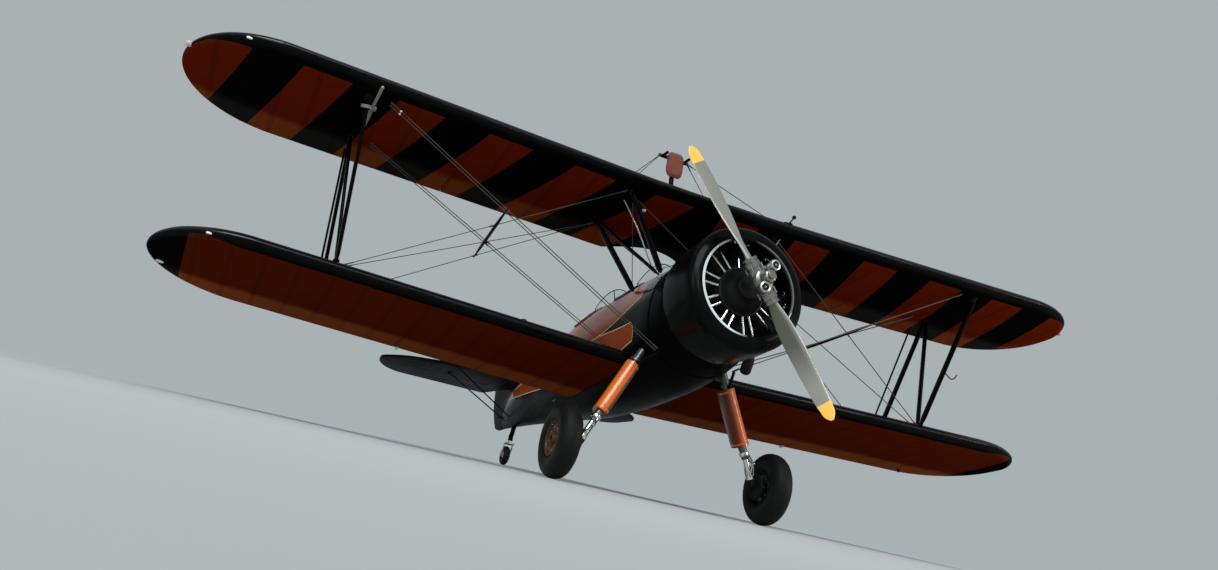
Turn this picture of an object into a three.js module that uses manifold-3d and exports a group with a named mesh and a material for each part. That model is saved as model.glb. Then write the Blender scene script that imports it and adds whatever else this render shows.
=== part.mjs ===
// Tandem two-seat training biplane with a round engine and a standing rig on its upper wing.
// Lengths are millimetres. The airframe is laid out level, propeller hub at the origin,
// X towards the left wing tip, Y aft and Z up, and is then stood on its three wheels.

import * as THREE from 'three'
import { mergeVertices } from 'three/addons/utils/BufferGeometryUtils.js'
import Module from 'manifold-3d'

const wasm = await Module()
wasm.setup()

// Clearances
const SEAT = 0.3
const RUN = 6

// Wings: y and z are the leading edge at the centre line, half is half the span
const CHORD = 1524
const UPPER = { y: 1011, z: 1149, half: 4900, root: 610, rise: 610, incidence: 3.6 }
const LOWER = { y: 1666, z: -375, half: 4750, root: 380, rise: 0, incidence: 3.3 }
const DIHEDRAL = 1.8
const THICKNESS = 0.13
const CAMBER = 0.02
const CAMBER_AT = 0.3
const TIP = 860
const TIP_WIDEST = 0.5
const FRONT_SPAR = 210
const REAR_SPAR = 1020
const CUTOUT = { half: 520, depth: 260 }

// Ailerons: inner and outer end along the span, hinge line and nose radius
const AILERON = { inner: 2330, outer: 4130, hinge: 1180, nose: 52 }

// Struts between the wings
const STRUT = { lowerX: 3200, upperX: 3345, chord: 84, thick: 34 }
// Slave strut from the lower to the upper aileron: pin behind the hinge line and over the skin
const SLAVE = { aft: 85, over: 20, gap: 16, radius: 11, pin: 6, bore: 6.7, ear: 8 }
const CABANE = { topX: 790, footX: 385, footZ: 389, frontY: 1230, rearY: 1834, chord: 92, thick: 40 }

// Round engine and its ring cowl
const COWL = { front: 190, back: 760, lip: 445, radius: 562, wall: 9 }
const ENGINE = { front: 250, back: 720, crank: 235, cylinders: 9, stroke: 560, y: 480 }
const HUB = 30

// Propeller
const PROP_TILT = 38

// Wheels
const WHEEL = { x: 1050, y: 1375, z: -1375, radius: 335, tube: 103, axle: 26 }
const TAILWHEEL = { y: 6400, z: -520, radius: 127, tube: 42, axle: 9, pivotY: 6270 }

// Tail
const TAILPLANE = { z: 450, rootY: 5700, hingeY: 6610, tipY: 6600, half: 1880, trail: 7130 }
const RUDDER = { hingeY: 6730, foot: -100, top: 1540 }

const paint = (colour, roughness = 0.35, metalness = 0.0) =>
  new THREE.MeshStandardMaterial({ color: colour, roughness, metalness })

const BLACK = paint(0x0c0c0e, 0.25)
const ORANGE = paint(0xc8480f, 0.35)
const BRIGHT_ORANGE = paint(0xe8690f, 0.25)
const STEEL = paint(0x9a9a98, 0.35, 0.9)
const CHROME = paint(0xd8d8d6, 0.12, 1.0)
const BLADE = paint(0x8f9290, 0.35, 0.8)
const RUBBER = paint(0x17171a, 0.8)
const GLASS = paint(0xaab8bc, 0.08)
const SEAT_CLOTH = paint(0x4a3626, 0.7)
const LAMP = paint(0xd04020, 0.2)

const V = (x, y, z) => new THREE.Vector3(x, y, z)
const rad = THREE.MathUtils.degToRad

// Turns a closed mesh's faces outwards if its signed volume is negative
function faceOut(points, faces) {
  let volume = 0
  const corner = i => V(points[3 * i], points[3 * i + 1], points[3 * i + 2])
  for (let i = 0; i < faces.length; i += 3) {
    volume += corner(faces[i]).dot(corner(faces[i + 1]).cross(corner(faces[i + 2])))
  }
  if (volume < 0) {
    for (let i = 0; i < faces.length; i += 3) [faces[i], faces[i + 1]] = [faces[i + 1], faces[i]]
  }
}

// Solids: a closed geometry becomes a manifold, and back
function solid(geometry) {
  const bare = geometry.clone()
  bare.deleteAttribute('normal')
  bare.deleteAttribute('uv')
  const welded = mergeVertices(bare, 1e-3)
  const points = new Float32Array(welded.attributes.position.array)
  const faces = new Uint32Array(welded.index.array)
  faceOut(points, faces)
  return new wasm.Manifold(new wasm.Mesh({ numProp: 3, vertProperties: points, triVerts: faces }))
}

function shape(manifold) {
  const mesh = manifold.getMesh()
  const geometry = new THREE.BufferGeometry()
  const points = new Float32Array(mesh.vertProperties)
  geometry.setAttribute('position', new THREE.BufferAttribute(points, 3))
  geometry.setIndex(new THREE.BufferAttribute(new Uint32Array(mesh.triVerts), 1))
  geometry.computeVertexNormals()
  return geometry
}

const join = (...solids) => solids.reduce((whole, next) => whole.add(next))
const cut = (body, ...tools) => tools.reduce((left, tool) => left.subtract(tool), body)

// A loft through closed rings of points, with flat ends
function loft(rings) {
  const count = rings[0].length
  const points = rings.flat()
  const faces = []
  for (let r = 0; r < rings.length - 1; r++) {
    for (let i = 0; i < count; i++) {
      const a = r * count + i
      const b = r * count + (i + 1) % count
      faces.push(a, b, a + count, b, b + count, a + count)
    }
  }
  for (let i = 1; i < count - 1; i++) {
    faces.push(0, i + 1, i)
    const last = (rings.length - 1) * count
    faces.push(last, last + i, last + i + 1)
  }
  const geometry = new THREE.BufferGeometry()
  geometry.setAttribute('position', new THREE.Float32BufferAttribute(points.flatMap(p => [p.x, p.y, p.z]), 3))
  geometry.setIndex(faces)
  return solid(geometry)
}

// A round bar between two points
function bar(from, to, radius, sides = 10) {
  const geometry = new THREE.CylinderGeometry(radius, radius, from.distanceTo(to), sides)
  const along = to.clone().sub(from).normalize()
  geometry.applyQuaternion(new THREE.Quaternion().setFromUnitVectors(V(0, 1, 0), along))
  const middle = from.clone().lerp(to, 0.5)
  geometry.translate(middle.x, middle.y, middle.z)
  return solid(geometry)
}

// A streamlined strut: an ellipse whose long axis lies fore and aft
function strut(from, to, chord, thick, sides = 12) {
  const along = to.clone().sub(from).normalize()
  const across = V(0, 1, 0).cross(along).normalize()
  const aft = along.clone().cross(across).normalize()
  const ring = centre => Array.from({ length: sides }, (_, i) => {
    const angle = 2 * Math.PI * i / sides
    return centre.clone()
      .addScaledVector(aft, Math.cos(angle) * chord / 2)
      .addScaledVector(across, Math.sin(angle) * thick / 2)
  })
  return loft([ring(from), ring(to)])
}

// A profile of radius and y turned about the Y axis
function turned(profile, segments) {
  return new THREE.LatheGeometry(profile.map(([r, y]) => new THREE.Vector2(r, y)), segments)
}

function block(width, depth, height, x, y, z) {
  const geometry = new THREE.BoxGeometry(width, depth, height)
  geometry.translate(x, y, z)
  return solid(geometry)
}

// Wings

function camberLine(f) {
  const p = CAMBER_AT
  if (f < p) return CAMBER / p ** 2 * (2 * p * f - f ** 2)
  return CAMBER / (1 - p) ** 2 * (1 - 2 * p + 2 * p * f - f ** 2)
}

function halfThickness(f) {
  const root = 0.2969 * Math.sqrt(f) - 0.126 * f - 0.3516 * f ** 2 + 0.2843 * f ** 3 - 0.1015 * f ** 4
  return 5 * THICKNESS * root
}

// Leading and trailing edge, as distances aft, at a place x along the half span
function planform(wing, x) {
  const reach = Math.abs(x) - (wing.half - TIP)
  if (reach <= 0) {
    let trail = CHORD
    if (wing === UPPER && Math.abs(x) < CUTOUT.half) {
      trail -= CUTOUT.depth * Math.cos(Math.PI * x / 2 / CUTOUT.half)
    }
    return [0, trail]
  }
  const round = 1 - Math.sqrt(1 - Math.min(reach / TIP, 0.999) ** 2)
  return [TIP_WIDEST * CHORD * round, CHORD - (1 - TIP_WIDEST) * CHORD * round]
}

// A point of a wing from its place along the span, aft of the leading edge and above the chord
function wingPoint(wing, x, aft, up) {
  const tilt = rad(wing.incidence)
  const rise = Math.max(0, Math.abs(x) - wing.rise) * Math.tan(rad(DIHEDRAL))
  return V(
    x,
    wing.y + aft * Math.cos(tilt) + up * Math.sin(tilt),
    wing.z + rise - aft * Math.sin(tilt) + up * Math.cos(tilt))
}

function wingRing(wing, x, points = 8) {
  const [lead, trail] = planform(wing, x)
  const chord = trail - lead
  const fraction = i => (1 - Math.cos(Math.PI * i / points)) / 2
  const place = (f, side) =>
    wingPoint(wing, x, lead + f * chord, (camberLine(f) + side * halfThickness(f)) * chord)
  const ring = []
  for (let i = 0; i <= points; i++) ring.push(place(fraction(i), 1))
  for (let i = points; i > 0; i--) ring.push(place(fraction(i), -1))
  return ring
}

// Height of the wing's skin above its chord at a place aft of the leading edge
function skin(wing, x, aft, side) {
  const [lead, trail] = planform(wing, x)
  const f = (aft - lead) / (trail - lead)
  return wingPoint(wing, x, aft, (camberLine(f) + side * halfThickness(f)) * (trail - lead))
}

function wingPanel(wing, side) {
  const stations = [wing.root + SEAT, wing.half - TIP]
  for (const angle of [27, 46, 63, 77, 87]) {
    stations.push(wing.half - TIP + TIP * Math.sin(rad(angle)))
  }
  return loft(stations.map(x => wingRing(wing, side * x)))
}

// Movable surfaces turn about a round nose in a matching hollow, on pins held by lugs

// A prism along X between two stations, its section given as aft and up
function spanPrism(wing, side, inner, outer, section) {
  return loft([inner, outer].map(x => section.map(([aft, up]) => wingPoint(wing, side * x, aft, up))))
}

const arcPoints = (radius, from, to, count, aft = 0, up = 0) =>
  Array.from({ length: count + 1 }, (_, i) => {
    const angle = rad(from + (to - from) * i / count)
    return [aft + radius * Math.cos(angle), up + radius * Math.sin(angle)]
  })

const HINGE = { notch: 15, half: 15, lug: 17, lugHalf: 7, pin: 7, bore: 7.9 }

// Cuts the notch in the moving piece, puts the pin across it and the bored lug on the fixed one
function hinge(fixed, moving, centre, axis, forward, nose, reach) {
  const along = offset => centre.clone().addScaledVector(axis, offset)
  const disc = (half, radius, sides) => bar(along(-half), along(half), radius, sides)
  const notched = moving.subtract(disc(HINGE.half, nose + HINGE.notch, 12))
  const pinned = notched.add(disc(HINGE.half + 4, HINGE.pin, 10))
  const across = axis.clone().cross(forward).normalize()
  const corner = (f, a) => centre.clone().addScaledVector(forward, f).addScaledVector(across, a)
  const { lug: tall } = HINGE
  const outline = [corner(0, -tall), corner(reach, -tall), corner(reach, tall), corner(0, tall)]
  const arm = loft([-HINGE.lugHalf, HINGE.lugHalf].map(offset =>
    outline.map(p => p.clone().addScaledVector(axis, offset))))
  const lug = cut(join(disc(HINGE.lugHalf, HINGE.lug, 12), arm), disc(HINGE.lugHalf + 2, HINGE.bore, 10))
  return [fixed.add(lug), pinned]
}

function splitAileron(wing, side, panel) {
  const { inner, outer, hinge: line, nose } = AILERON
  const middle = camberLine(line / CHORD) * CHORD - 4
  const [under, over] = [middle - 200, middle + 200]
  const far = line + 420
  const bay = section => spanPrism(wing, side, inner - RUN, outer + RUN, section)
  const fill = section => spanPrism(wing, side, inner, outer, section)
  const rounded = radius => [[far, under], [far, over], ...arcPoints(radius, 90, 270, 6, line, middle)]
  const wide = [[far, under], [far, over], [line, over], [line, under]]
  const tail = panel.intersect(fill(wide))
  const round = panel.intersect(fill(rounded(nose)))
  let aileron = tail.add(round)
  let rest = cut(panel, bay(rounded(nose + RUN)), bay(wide))
  const pivot = x => wingPoint(wing, side * x, line, middle)
  const axis = pivot(outer).sub(pivot(inner)).normalize()
  const forward = pivot(inner).sub(wingPoint(wing, side * inner, line + 100, middle)).normalize()
  for (const x of [inner + 250, outer - 250]) {
    [rest, aileron] = hinge(rest, aileron, pivot(x), axis, forward, nose, nose + RUN + 12)
  }
  return { fixed: rest, moving: aileron, pivot: pivot(3230), axis }
}

// Fuselage sections: y, half width, top, bottom and how square the upper and lower halves are
const SECTIONS = [
  { y: 700, half: 470, top: 465, bottom: -500, upper: 1.0, lower: 0.95 },
  { y: 1080, half: 500, top: 510, bottom: -580, upper: 0.98, lower: 0.9 },
  { y: 1500, half: 478, top: 560, bottom: -620, upper: 0.95, lower: 0.8 },
  { y: 2000, half: 452, top: 600, bottom: -625, upper: 0.93, lower: 0.75 },
  { y: 2800, half: 430, top: 640, bottom: -590, upper: 0.92, lower: 0.72 },
  { y: 3500, half: 402, top: 665, bottom: -520, upper: 0.92, lower: 0.72 },
  { y: 3950, half: 372, top: 630, bottom: -460, upper: 0.92, lower: 0.74 },
  { y: 4700, half: 305, top: 565, bottom: -350, upper: 0.92, lower: 0.76 },
  { y: 5600, half: 205, top: 490, bottom: -230, upper: 0.92, lower: 0.8 },
  { y: 6300, half: 115, top: 425, bottom: -150, upper: 0.95, lower: 0.9 },
  { y: 6700, half: 42, top: 385, bottom: -105, upper: 1.0, lower: 1.0 },
]

function sectionAt(y) {
  const next = SECTIONS.findIndex(s => s.y >= y)
  const b = SECTIONS[Math.max(next, 1)]
  const a = SECTIONS[Math.max(next, 1) - 1]
  const t = (y - a.y) / (b.y - a.y)
  const mix = key => a[key] + (b[key] - a[key]) * t
  return {
    y, half: mix('half'), top: mix('top'), bottom: mix('bottom'), upper: mix('upper'), lower: mix('lower') }
}

// A ring of the body, drawn in by wall on every side
function bodyRing(s, wall = 0, sides = 28) {
  const waist = s.bottom + (s.top - s.bottom) * 0.45
  return Array.from({ length: sides }, (_, i) => {
    const angle = 2 * Math.PI * i / sides
    const c = Math.cos(angle)
    const d = Math.sin(angle)
    const power = d >= 0 ? s.upper : s.lower
    const tall = d >= 0 ? s.top - waist : waist - s.bottom
    return V(
      Math.sign(c) * Math.abs(c) ** power * (s.half - wall),
      s.y,
      waist + Math.sign(d) * Math.abs(d) ** power * (tall - wall))
  })
}

function body(from, to, wall = 0) {
  const inside = SECTIONS.filter(s => s.y > from + 1 && s.y < to - 1)
  return loft([sectionAt(from), ...inside, sectionAt(to)].map(s => bodyRing(s, wall)))
}

const NOSE_END = 1080
const CABIN_END = 3950
const WALL = 22
const COCKPITS = [
  { name: 'front', from: 2010, to: 2660, half: 290 },
  { name: 'rear', from: 3110, to: 3760, half: 290 },
]
const FLOOR = -330

// The rounded opening over a cockpit, cut straight down through the decking
function opening(cockpit) {
  const middle = (cockpit.from + cockpit.to) / 2
  const long = (cockpit.to - cockpit.from) / 2
  const ring = z => Array.from({ length: 20 }, (_, i) => {
    const angle = 2 * Math.PI * i / 20
    const c = Math.cos(angle)
    const d = Math.sin(angle)
    return V(
      Math.sign(c) * Math.abs(c) ** 0.6 * cockpit.half,
      middle + Math.sign(d) * Math.abs(d) ** 0.6 * long,
      z)
  })
  return loft([ring(200), ring(900)])
}

const noseCowling = body(SECTIONS[0].y, NOSE_END - SEAT)
const innerRoom = cut(
  body(1500, CABIN_END - 60, WALL),
  block(1400, 3200, 600, 0, 2700, FLOOR - 300))
const cabin = cut(body(NOSE_END, CABIN_END - SEAT), innerRoom, ...COCKPITS.map(opening))
const tailCone = body(CABIN_END, SECTIONS[SECTIONS.length - 1].y)
const bodySeat = loft([sectionAt(SECTIONS[0].y), ...SECTIONS.slice(1)].map(s => bodyRing(s, -SEAT)))

// Wing panels, sides are 1 for left and -1 for right
const upperCentre = loft([-610, -520, -390, -260, -130, 0, 130, 260, 390, 520, 610]
  .map(x => wingRing(UPPER, x)))
const SIDES = [{ name: 'left', side: 1 }, { name: 'right', side: -1 }]
const wings = {}
for (const { name, side } of SIDES) {
  wings['upper_' + name] = splitAileron(UPPER, side, wingPanel(UPPER, side))
  const lower = splitAileron(LOWER, side, wingPanel(LOWER, side).subtract(bodySeat))
  wings['lower_' + name] = { ...lower, moving: slaveEar(side, lower.moving) }
}

// What a strut stands on: the wing's solid with a skin of SEAT above or below it
const lifted = (body, z) => body.add(body.translate([0, 0, z]))
const shifted = (body, x, y, z) => body.translate([x, y, z])
const upperFloor = lifted(join(upperCentre, ...SIDES.map(s => wings['upper_' + s.name].fixed)), -SEAT)
const lowerDeck = lifted(join(...SIDES.map(s => wings['lower_' + s.name].fixed)), SEAT)

function sparPoint(wing, side, x, aft, which, sink = 20) {
  const point = skin(wing, side * x, aft, which)
  point.z -= which * sink
  return point
}

function wingStruts(side) {
  const foot = aft => sparPoint(LOWER, side, STRUT.lowerX, aft, 1)
  const head = aft => sparPoint(UPPER, side, STRUT.upperX, aft, -1)
  const { chord, thick } = STRUT
  const front = strut(foot(FRONT_SPAR), head(FRONT_SPAR), chord, thick)
  const rear = strut(foot(REAR_SPAR), head(REAR_SPAR), chord, thick)
  const diagonal = strut(foot(FRONT_SPAR + 40), head(REAR_SPAR - 30), chord * 0.8, thick * 0.9)
  return cut(join(front, rear, diagonal), upperFloor, lowerDeck)
}

// A grey arm clamped fore and aft to the head of the right front strut, under the wing
const ARM = { side: -1, front: 830, rear: 1690, frontZ: 1062, rearZ: 1096, drop: 110, inboard: 46 }

function strutArm() {
  const { side, front, rear, frontZ, rearZ, drop, inboard } = ARM
  const foot = sparPoint(LOWER, side, STRUT.lowerX, FRONT_SPAR, 1)
  const head = sparPoint(UPPER, side, STRUT.upperX, FRONT_SPAR, -1)
  const grip = head.clone().lerp(foot, drop / (head.z - foot.z))
  const at = y => V(grip.x - side * inboard, y, frontZ + (rearZ - frontZ) * (y - front) / (rear - front))
  const clamp = block(150, 132, 46, grip.x - side * 25, grip.y, at(grip.y).z)
  const fat = 2 * SEAT
  return cut(
    join(bar(at(front), at(rear), 14, 10), bar(at(grip.y + 60), at(rear), 20, 10), clamp),
    strut(foot, head, STRUT.chord + fat, STRUT.thick + fat))
}

function cabane(side) {
  const foot = y => V(side * (CABANE.footX - 12), y, CABANE.footZ - 25)
  const head = aft => sparPoint(UPPER, side, CABANE.topX, aft, -1)
  const { chord, thick } = CABANE
  const front = strut(foot(CABANE.frontY), head(FRONT_SPAR), chord, thick)
  const rear = strut(foot(CABANE.rearY), head(REAR_SPAR), chord, thick)
  const diagonal = strut(foot(CABANE.frontY + 50), head(REAR_SPAR - 40), chord * 0.45, thick * 0.7)
  return cut(join(front, rear, diagonal), upperFloor, bodySeat)
}

// Flying wires run out and up from the body, landing wires out and down from the centre section
const WIRE = { radius: 5, outX: 3150, bodyX: 400, javelin: 15 }
const BODY_FIT = { frontY: 1050, frontZ: -450, rearY: 1850, rearZ: -330 }

function bracing(side) {
  const high = aft => sparPoint(UPPER, side, WIRE.outX, aft, -1, 8)
  const low = aft => sparPoint(LOWER, side, WIRE.outX, aft, 1, 8)
  const centre = aft => sparPoint(UPPER, side, CABANE.topX + 40, aft, -1, 8)
  const wires = [
    [V(side * WIRE.bodyX, BODY_FIT.frontY, BODY_FIT.frontZ), high(FRONT_SPAR)],
    [V(side * WIRE.bodyX, BODY_FIT.rearY, BODY_FIT.rearZ), high(REAR_SPAR)],
    [centre(FRONT_SPAR), low(FRONT_SPAR)],
    [centre(REAR_SPAR), low(REAR_SPAR)],
  ]
  const at = ([a, b], x) => a.clone().lerp(b, (side * x - a.x) / (b.x - a.x))
  const crossing = (first, second) => {
    const gap = x => at(first, x).z - at(second, x).z
    const [near, far] = [gap(1000), gap(3000)]
    return 1000 - near * 2000 / (far - near)
  }
  const frontX = crossing(wires[0], wires[2])
  const rearX = crossing(wires[1], wires[3])
  const tip = at(wires[0], frontX)
  const end = at(wires[3], rearX)
  const along = end.clone().sub(tip).normalize()
  const javelin = bar(
    tip.clone().addScaledVector(along, -40), end.clone().addScaledVector(along, 40), WIRE.javelin, 10)
  const spacer = wires.map(pair => {
    const x = (frontX + rearX) / 2
    const p = at(pair, pair === wires[0] || pair === wires[2] ? frontX : rearX)
    const t = p.clone().sub(tip).dot(along)
    return bar(p, tip.clone().addScaledVector(along, t), 9, 8)
  }).filter((_, i) => i === 1 || i === 2)
  return cut(
    join(javelin, ...wires.map(([a, b]) => bar(a, b, WIRE.radius, 5)), ...spacer),
    upperFloor, lowerDeck, bodySeat)
}

// Ring cowl: a rounded bright lip and a thin barrel
function cowlRing() {
  const { front, back, lip, radius, wall } = COWL
  const bend = radius - lip
  const profile = [[radius - 22, back], [radius, front + 210]]
  for (const angle of [60, 40, 20, 0]) {
    profile.push([lip + bend * Math.sin(rad(angle)), front + 62 * (1 - Math.cos(rad(angle)))])
  }
  profile.push([lip + 2, front + 26], [lip + 20, front + 60], [radius - 45, front + 110])
  profile.push([radius - wall, front + 220], [radius - 22 - wall, back], [radius - 22, back])
  return solid(turned(profile, 36))
}

// Crankcase, nose case and nine finned barrels with rocker boxes that carry the cowl
function engine() {
  const { front, back, crank, cylinders, stroke, y } = ENGINE
  const shaft = 34
  const profile = [
    [0, HUB], [shaft, HUB], [shaft, front - 60], [95, front - 50], [125, front + 10],
    [190, front + 60], [crank, y - 100], [crank, y + 110], [200, back], [0, back]]
  const parts = [solid(turned(profile, 14))]
  for (let i = 0; i < cylinders; i++) {
    const angle = 2 * Math.PI * i / cylinders
    const out = (r, dy, dx = 0) => V(
      Math.sin(angle) * r + Math.cos(angle) * dx, y + dy, Math.cos(angle) * r - Math.sin(angle) * dx)
    parts.push(bar(out(crank - 15, 0), out(440, 0), 72, 8))
    parts.push(bar(out(430, 0), out(stroke - 30, 0), 92, 8))
    for (const dx of [-48, 48]) {
      parts.push(bar(out(455, -30, dx * 1.15), out(stroke, -40, dx), 30, 4))
      parts.push(bar(out(crank - 40, -120, dx * 0.55), out(500, -55, dx), 11, 4))
    }
  }
  const carried = cowlInside()
  return join(...parts).intersect(carried)
}

// The space inside the ring cowl, less the seat gap
function cowlInside() {
  const { front, back, lip, radius, wall } = COWL
  const inner = [
    [0, HUB], [lip - 20, HUB], [lip - 20, front + 60], [radius - 45 - SEAT, front + 110.5],
    [radius - wall - SEAT, front + 220.5], [radius - 22 - wall - SEAT, back],
    [radius - 22 - wall - SEAT, back + 100], [0, back + 100]]
  return solid(turned(inner, 36))
}

// Two-blade propeller: blade sections by radius, chord, thickness and pitch in degrees;
// seen from the cockpits it turns clockwise, so the upper blade's leading edge is on the right
const BLADE_SECTIONS = [
  { r: 70, chord: 78, thick: 74, pitch: 52 },
  { r: 220, chord: 96, thick: 62, pitch: 44 },
  { r: 420, chord: 146, thick: 36, pitch: 32 },
  { r: 700, chord: 170, thick: 24, pitch: 19 },
  { r: 980, chord: 165, thick: 17, pitch: 12 },
  { r: 1170, chord: 136, thick: 12, pitch: 10 },
  { r: 1255, chord: 92, thick: 9, pitch: 9 },
  { r: 1290, chord: 34, thick: 6, pitch: 8 },
]

function blade(direction) {
  const rings = BLADE_SECTIONS.map(({ r, chord, thick, pitch }) => Array.from({ length: 10 }, (_, i) => {
    const angle = 2 * Math.PI * i / 10
    const c = Math.cos(angle) * chord / 2
    const t = Math.sin(angle) * thick / 2
    const turn = rad(pitch)
    return V(
      (c * Math.cos(turn) - t * Math.sin(turn)) * direction,
      HUB / 2 + c * Math.sin(turn) + t * Math.cos(turn),
      r * direction)
  }))
  return loft(rings)
}

function propeller() {
  const boss = [
    [0, -175], [38, -170], [58, -140], [62, -60], [88, -50], [92, 60], [70, HUB + 45], [0, HUB + 45]]
  const hub = solid(turned(boss, 20))
  const shaftBore = solid(turned([[0, HUB - 20], [34.9, HUB - 20], [34.9, HUB + 80], [0, HUB + 80]], 24))
  const parts = [hub, blade(1), blade(-1)]
  for (const direction of [1, -1]) {
    parts.push(bar(V(0, HUB / 2, 40 * direction), V(0, HUB / 2, 215 * direction), 62, 14))
    parts.push(bar(V(direction * 40, 0, 100 * direction), V(direction * 92, -90, 66 * direction), 20, 8))
    parts.push(bar(V(direction * 92, -78, 66 * direction), V(direction * 100, -150, 62 * direction), 50, 14))
  }
  return cut(join(...parts), shaftBore)
}

// Main gear: leg from the body to the axle, streamlined cover, torque links
const LEG = {
  topX: 430, topY: 1300, topZ: -420, footX: 872, footZ: -1330, radius: 36, coverFrom: 0.14, coverTo: 0.68 }
const LEG_STAY = { x: 380, y: 1010, z: -480, radius: 15, meets: 0.16 }

function legPoint(side, t) {
  return V(
    side * (LEG.topX + (LEG.footX - LEG.topX) * t),
    LEG.topY + (WHEEL.y - LEG.topY) * t,
    LEG.topZ + (LEG.footZ - LEG.topZ) * t)
}

// The thin stay from the body to the leg, its radius made larger by extra
function legStay(side, extra = 0) {
  const { x, y, z, radius, meets } = LEG_STAY
  return bar(V(side * x, y, z), legPoint(side, meets), radius + extra, 8)
}

function gearLeg(side) {
  const axleStart = legPoint(side, 1)
  const axleEnd = V(side * (WHEEL.x + 62), WHEEL.y, WHEEL.z)
  const link = (t, y) => {
    const p = legPoint(side, t)
    p.y += y
    return p
  }
  const parts = [
    bar(legPoint(side, -0.02), legPoint(side, 0.8), LEG.radius, 12),
    bar(legPoint(side, 0.76), legPoint(side, 1.03), LEG.radius - 9, 12),
    bar(V(axleStart.x - side * 10, WHEEL.y, WHEEL.z), axleEnd, WHEEL.axle, 16),
    bar(legPoint(side, 0.97), V(side * (LEG.footX + 22), WHEEL.y, WHEEL.z), 40, 12),
    bar(link(0.74, -20), link(0.86, -105), 9, 6),
    bar(link(0.86, -105), link(0.98, -20), 9, 6),
    legStay(side),
  ]
  return cut(join(...parts), bodySeat)
}

// The leg's cover: round in front and drawn out to an edge behind
function legCover(side) {
  const section = [...arcPoints(59, 90, 270, 8, 0, 0), [56, -49], [165, -16], [192, 0], [165, 16], [56, 49]]
  const along = legPoint(side, 1).sub(legPoint(side, 0)).normalize()
  const across = V(0, 1, 0).cross(along).normalize()
  const aft = along.clone().cross(across).negate()
  if (aft.y < 0) aft.negate()
  const ring = t => section.map(([a, u]) =>
    legPoint(side, t).addScaledVector(aft, a).addScaledVector(across, u))
  const outer = loft([ring(LEG.coverFrom), ring(LEG.coverTo)])
  const bore = bar(legPoint(side, 0), legPoint(side, 0.9), LEG.radius + 2 * SEAT, 12)
  return cut(outer, bore, legStay(side, 3))
}

function tyre(radius, tube, seat, around, sides) {
  const profile = arcPoints(tube, 0, 360, sides, radius - tube, 0).map(([r, y]) => [r, y])
  profile[profile.length - 1] = [...profile[0]]
  const ring = solid(turned(profile, around))
  const bore = solid(turned([[0, -tube * 2], [seat, -tube * 2], [seat, tube * 2], [0, tube * 2]], around))
  return ring.subtract(bore)
}

// Axis along Y turned to lie along X
const sideways = body => body.rotate([0, 0, 90])

function wheelHub(rim, width, axle, around) {
  const profile = [
    [axle + 0.5, -width * 0.42], [rim * 0.42, -width * 0.42], [rim * 0.6, -width * 0.3],
    [rim - SEAT, -width * 0.36], [rim - SEAT, width * 0.36], [rim * 0.6, width * 0.3],
    [rim * 0.42, width * 0.42], [axle + 0.5, width * 0.42], [axle + 0.5, -width * 0.42]]
  return solid(turned(profile, around))
}

// Tail surfaces

// Leading and trailing edge of the tailplane and elevator at a place out along the half span
function tailplaneEdges(x) {
  const { rootY, tipY, half, trail } = TAILPLANE
  const out = Math.abs(x)
  const tip = 420
  const sweep = 620
  const lead = rootY + sweep * out / half
  const reach = Math.max(0, out - (half - tip)) / tip
  const round = 1 - Math.sqrt(1 - Math.min(reach, 0.998) ** 2)
  const leadTip = tipY - lead
  return [lead + leadTip * round, trail - (trail - tipY) * round]
}

// A flat tail surface: a symmetric section from a leading to a trailing edge, thick at 40 per cent
function tailRing(lead, trail, thick, place) {
  const chord = trail - lead
  const stations = [[0, 0.12], [0.06, 0.62], [0.2, 0.92], [0.45, 1], [0.75, 0.62], [1, 0.12]]
  const t = Math.min(thick, chord * 0.3)
  return [
    ...stations.map(([f, h]) => place(lead + f * chord, h * t / 2)),
    ...stations.slice().reverse().map(([f, h]) => place(lead + f * chord, -h * t / 2))]
}

const TAIL_THICK = 64
const TAIL_NOSE = 32
const ELEVATOR = { nose: TAIL_NOSE, inner: 96, innerTrail: 300, far: 600 }

function tailplaneHalf(side) {
  const out = [30, 500, 1000, 1460, 1640, 1760, 1836, 1872]
  return loft(out.map(x => {
    const [lead, trail] = tailplaneEdges(x)
    const thick = TAIL_THICK * (1 - 0.35 * x / TAILPLANE.half)
    return tailRing(lead, trail, thick, (y, up) => V(side * x, y, TAILPLANE.z + up))
  }))
}

function splitElevator(side) {
  const { z, hingeY, half } = TAILPLANE
  const whole = tailplaneHalf(side)
  const { nose, inner, innerTrail, far } = ELEVATOR
  const axisPoint = x => V(side * x, hingeY, z)
  const aft = block(2 * half + 200, far, 400, 0, hingeY + far / 2, z)
  const round = bar(axisPoint(inner), axisPoint(half + 50), nose, 16)
  const hollow = bar(axisPoint(0), axisPoint(half + 50), nose + RUN, 16)
  const clear = loft([z - 200, z + 200].map(level => [
    V(-side * 50, hingeY - 100, level), V(side * inner, hingeY - 100, level), V(side * inner, hingeY, level),
    V(side * innerTrail, hingeY + far, level), V(-side * 50, hingeY + far, level)]))
  let elevator = cut(whole.intersect(aft).add(whole.intersect(round)), clear)
  let fixed = cut(whole, aft, hollow)
  const axis = V(side, 0, 0)
  const forward = V(0, -1, 0)
  for (const x of [420, 1240]) {
    [fixed, elevator] = hinge(fixed, elevator, axisPoint(x), axis, forward, nose, nose + RUN + 10)
  }
  return { fixed, moving: elevator, pivot: axisPoint(0), axis }
}

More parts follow.
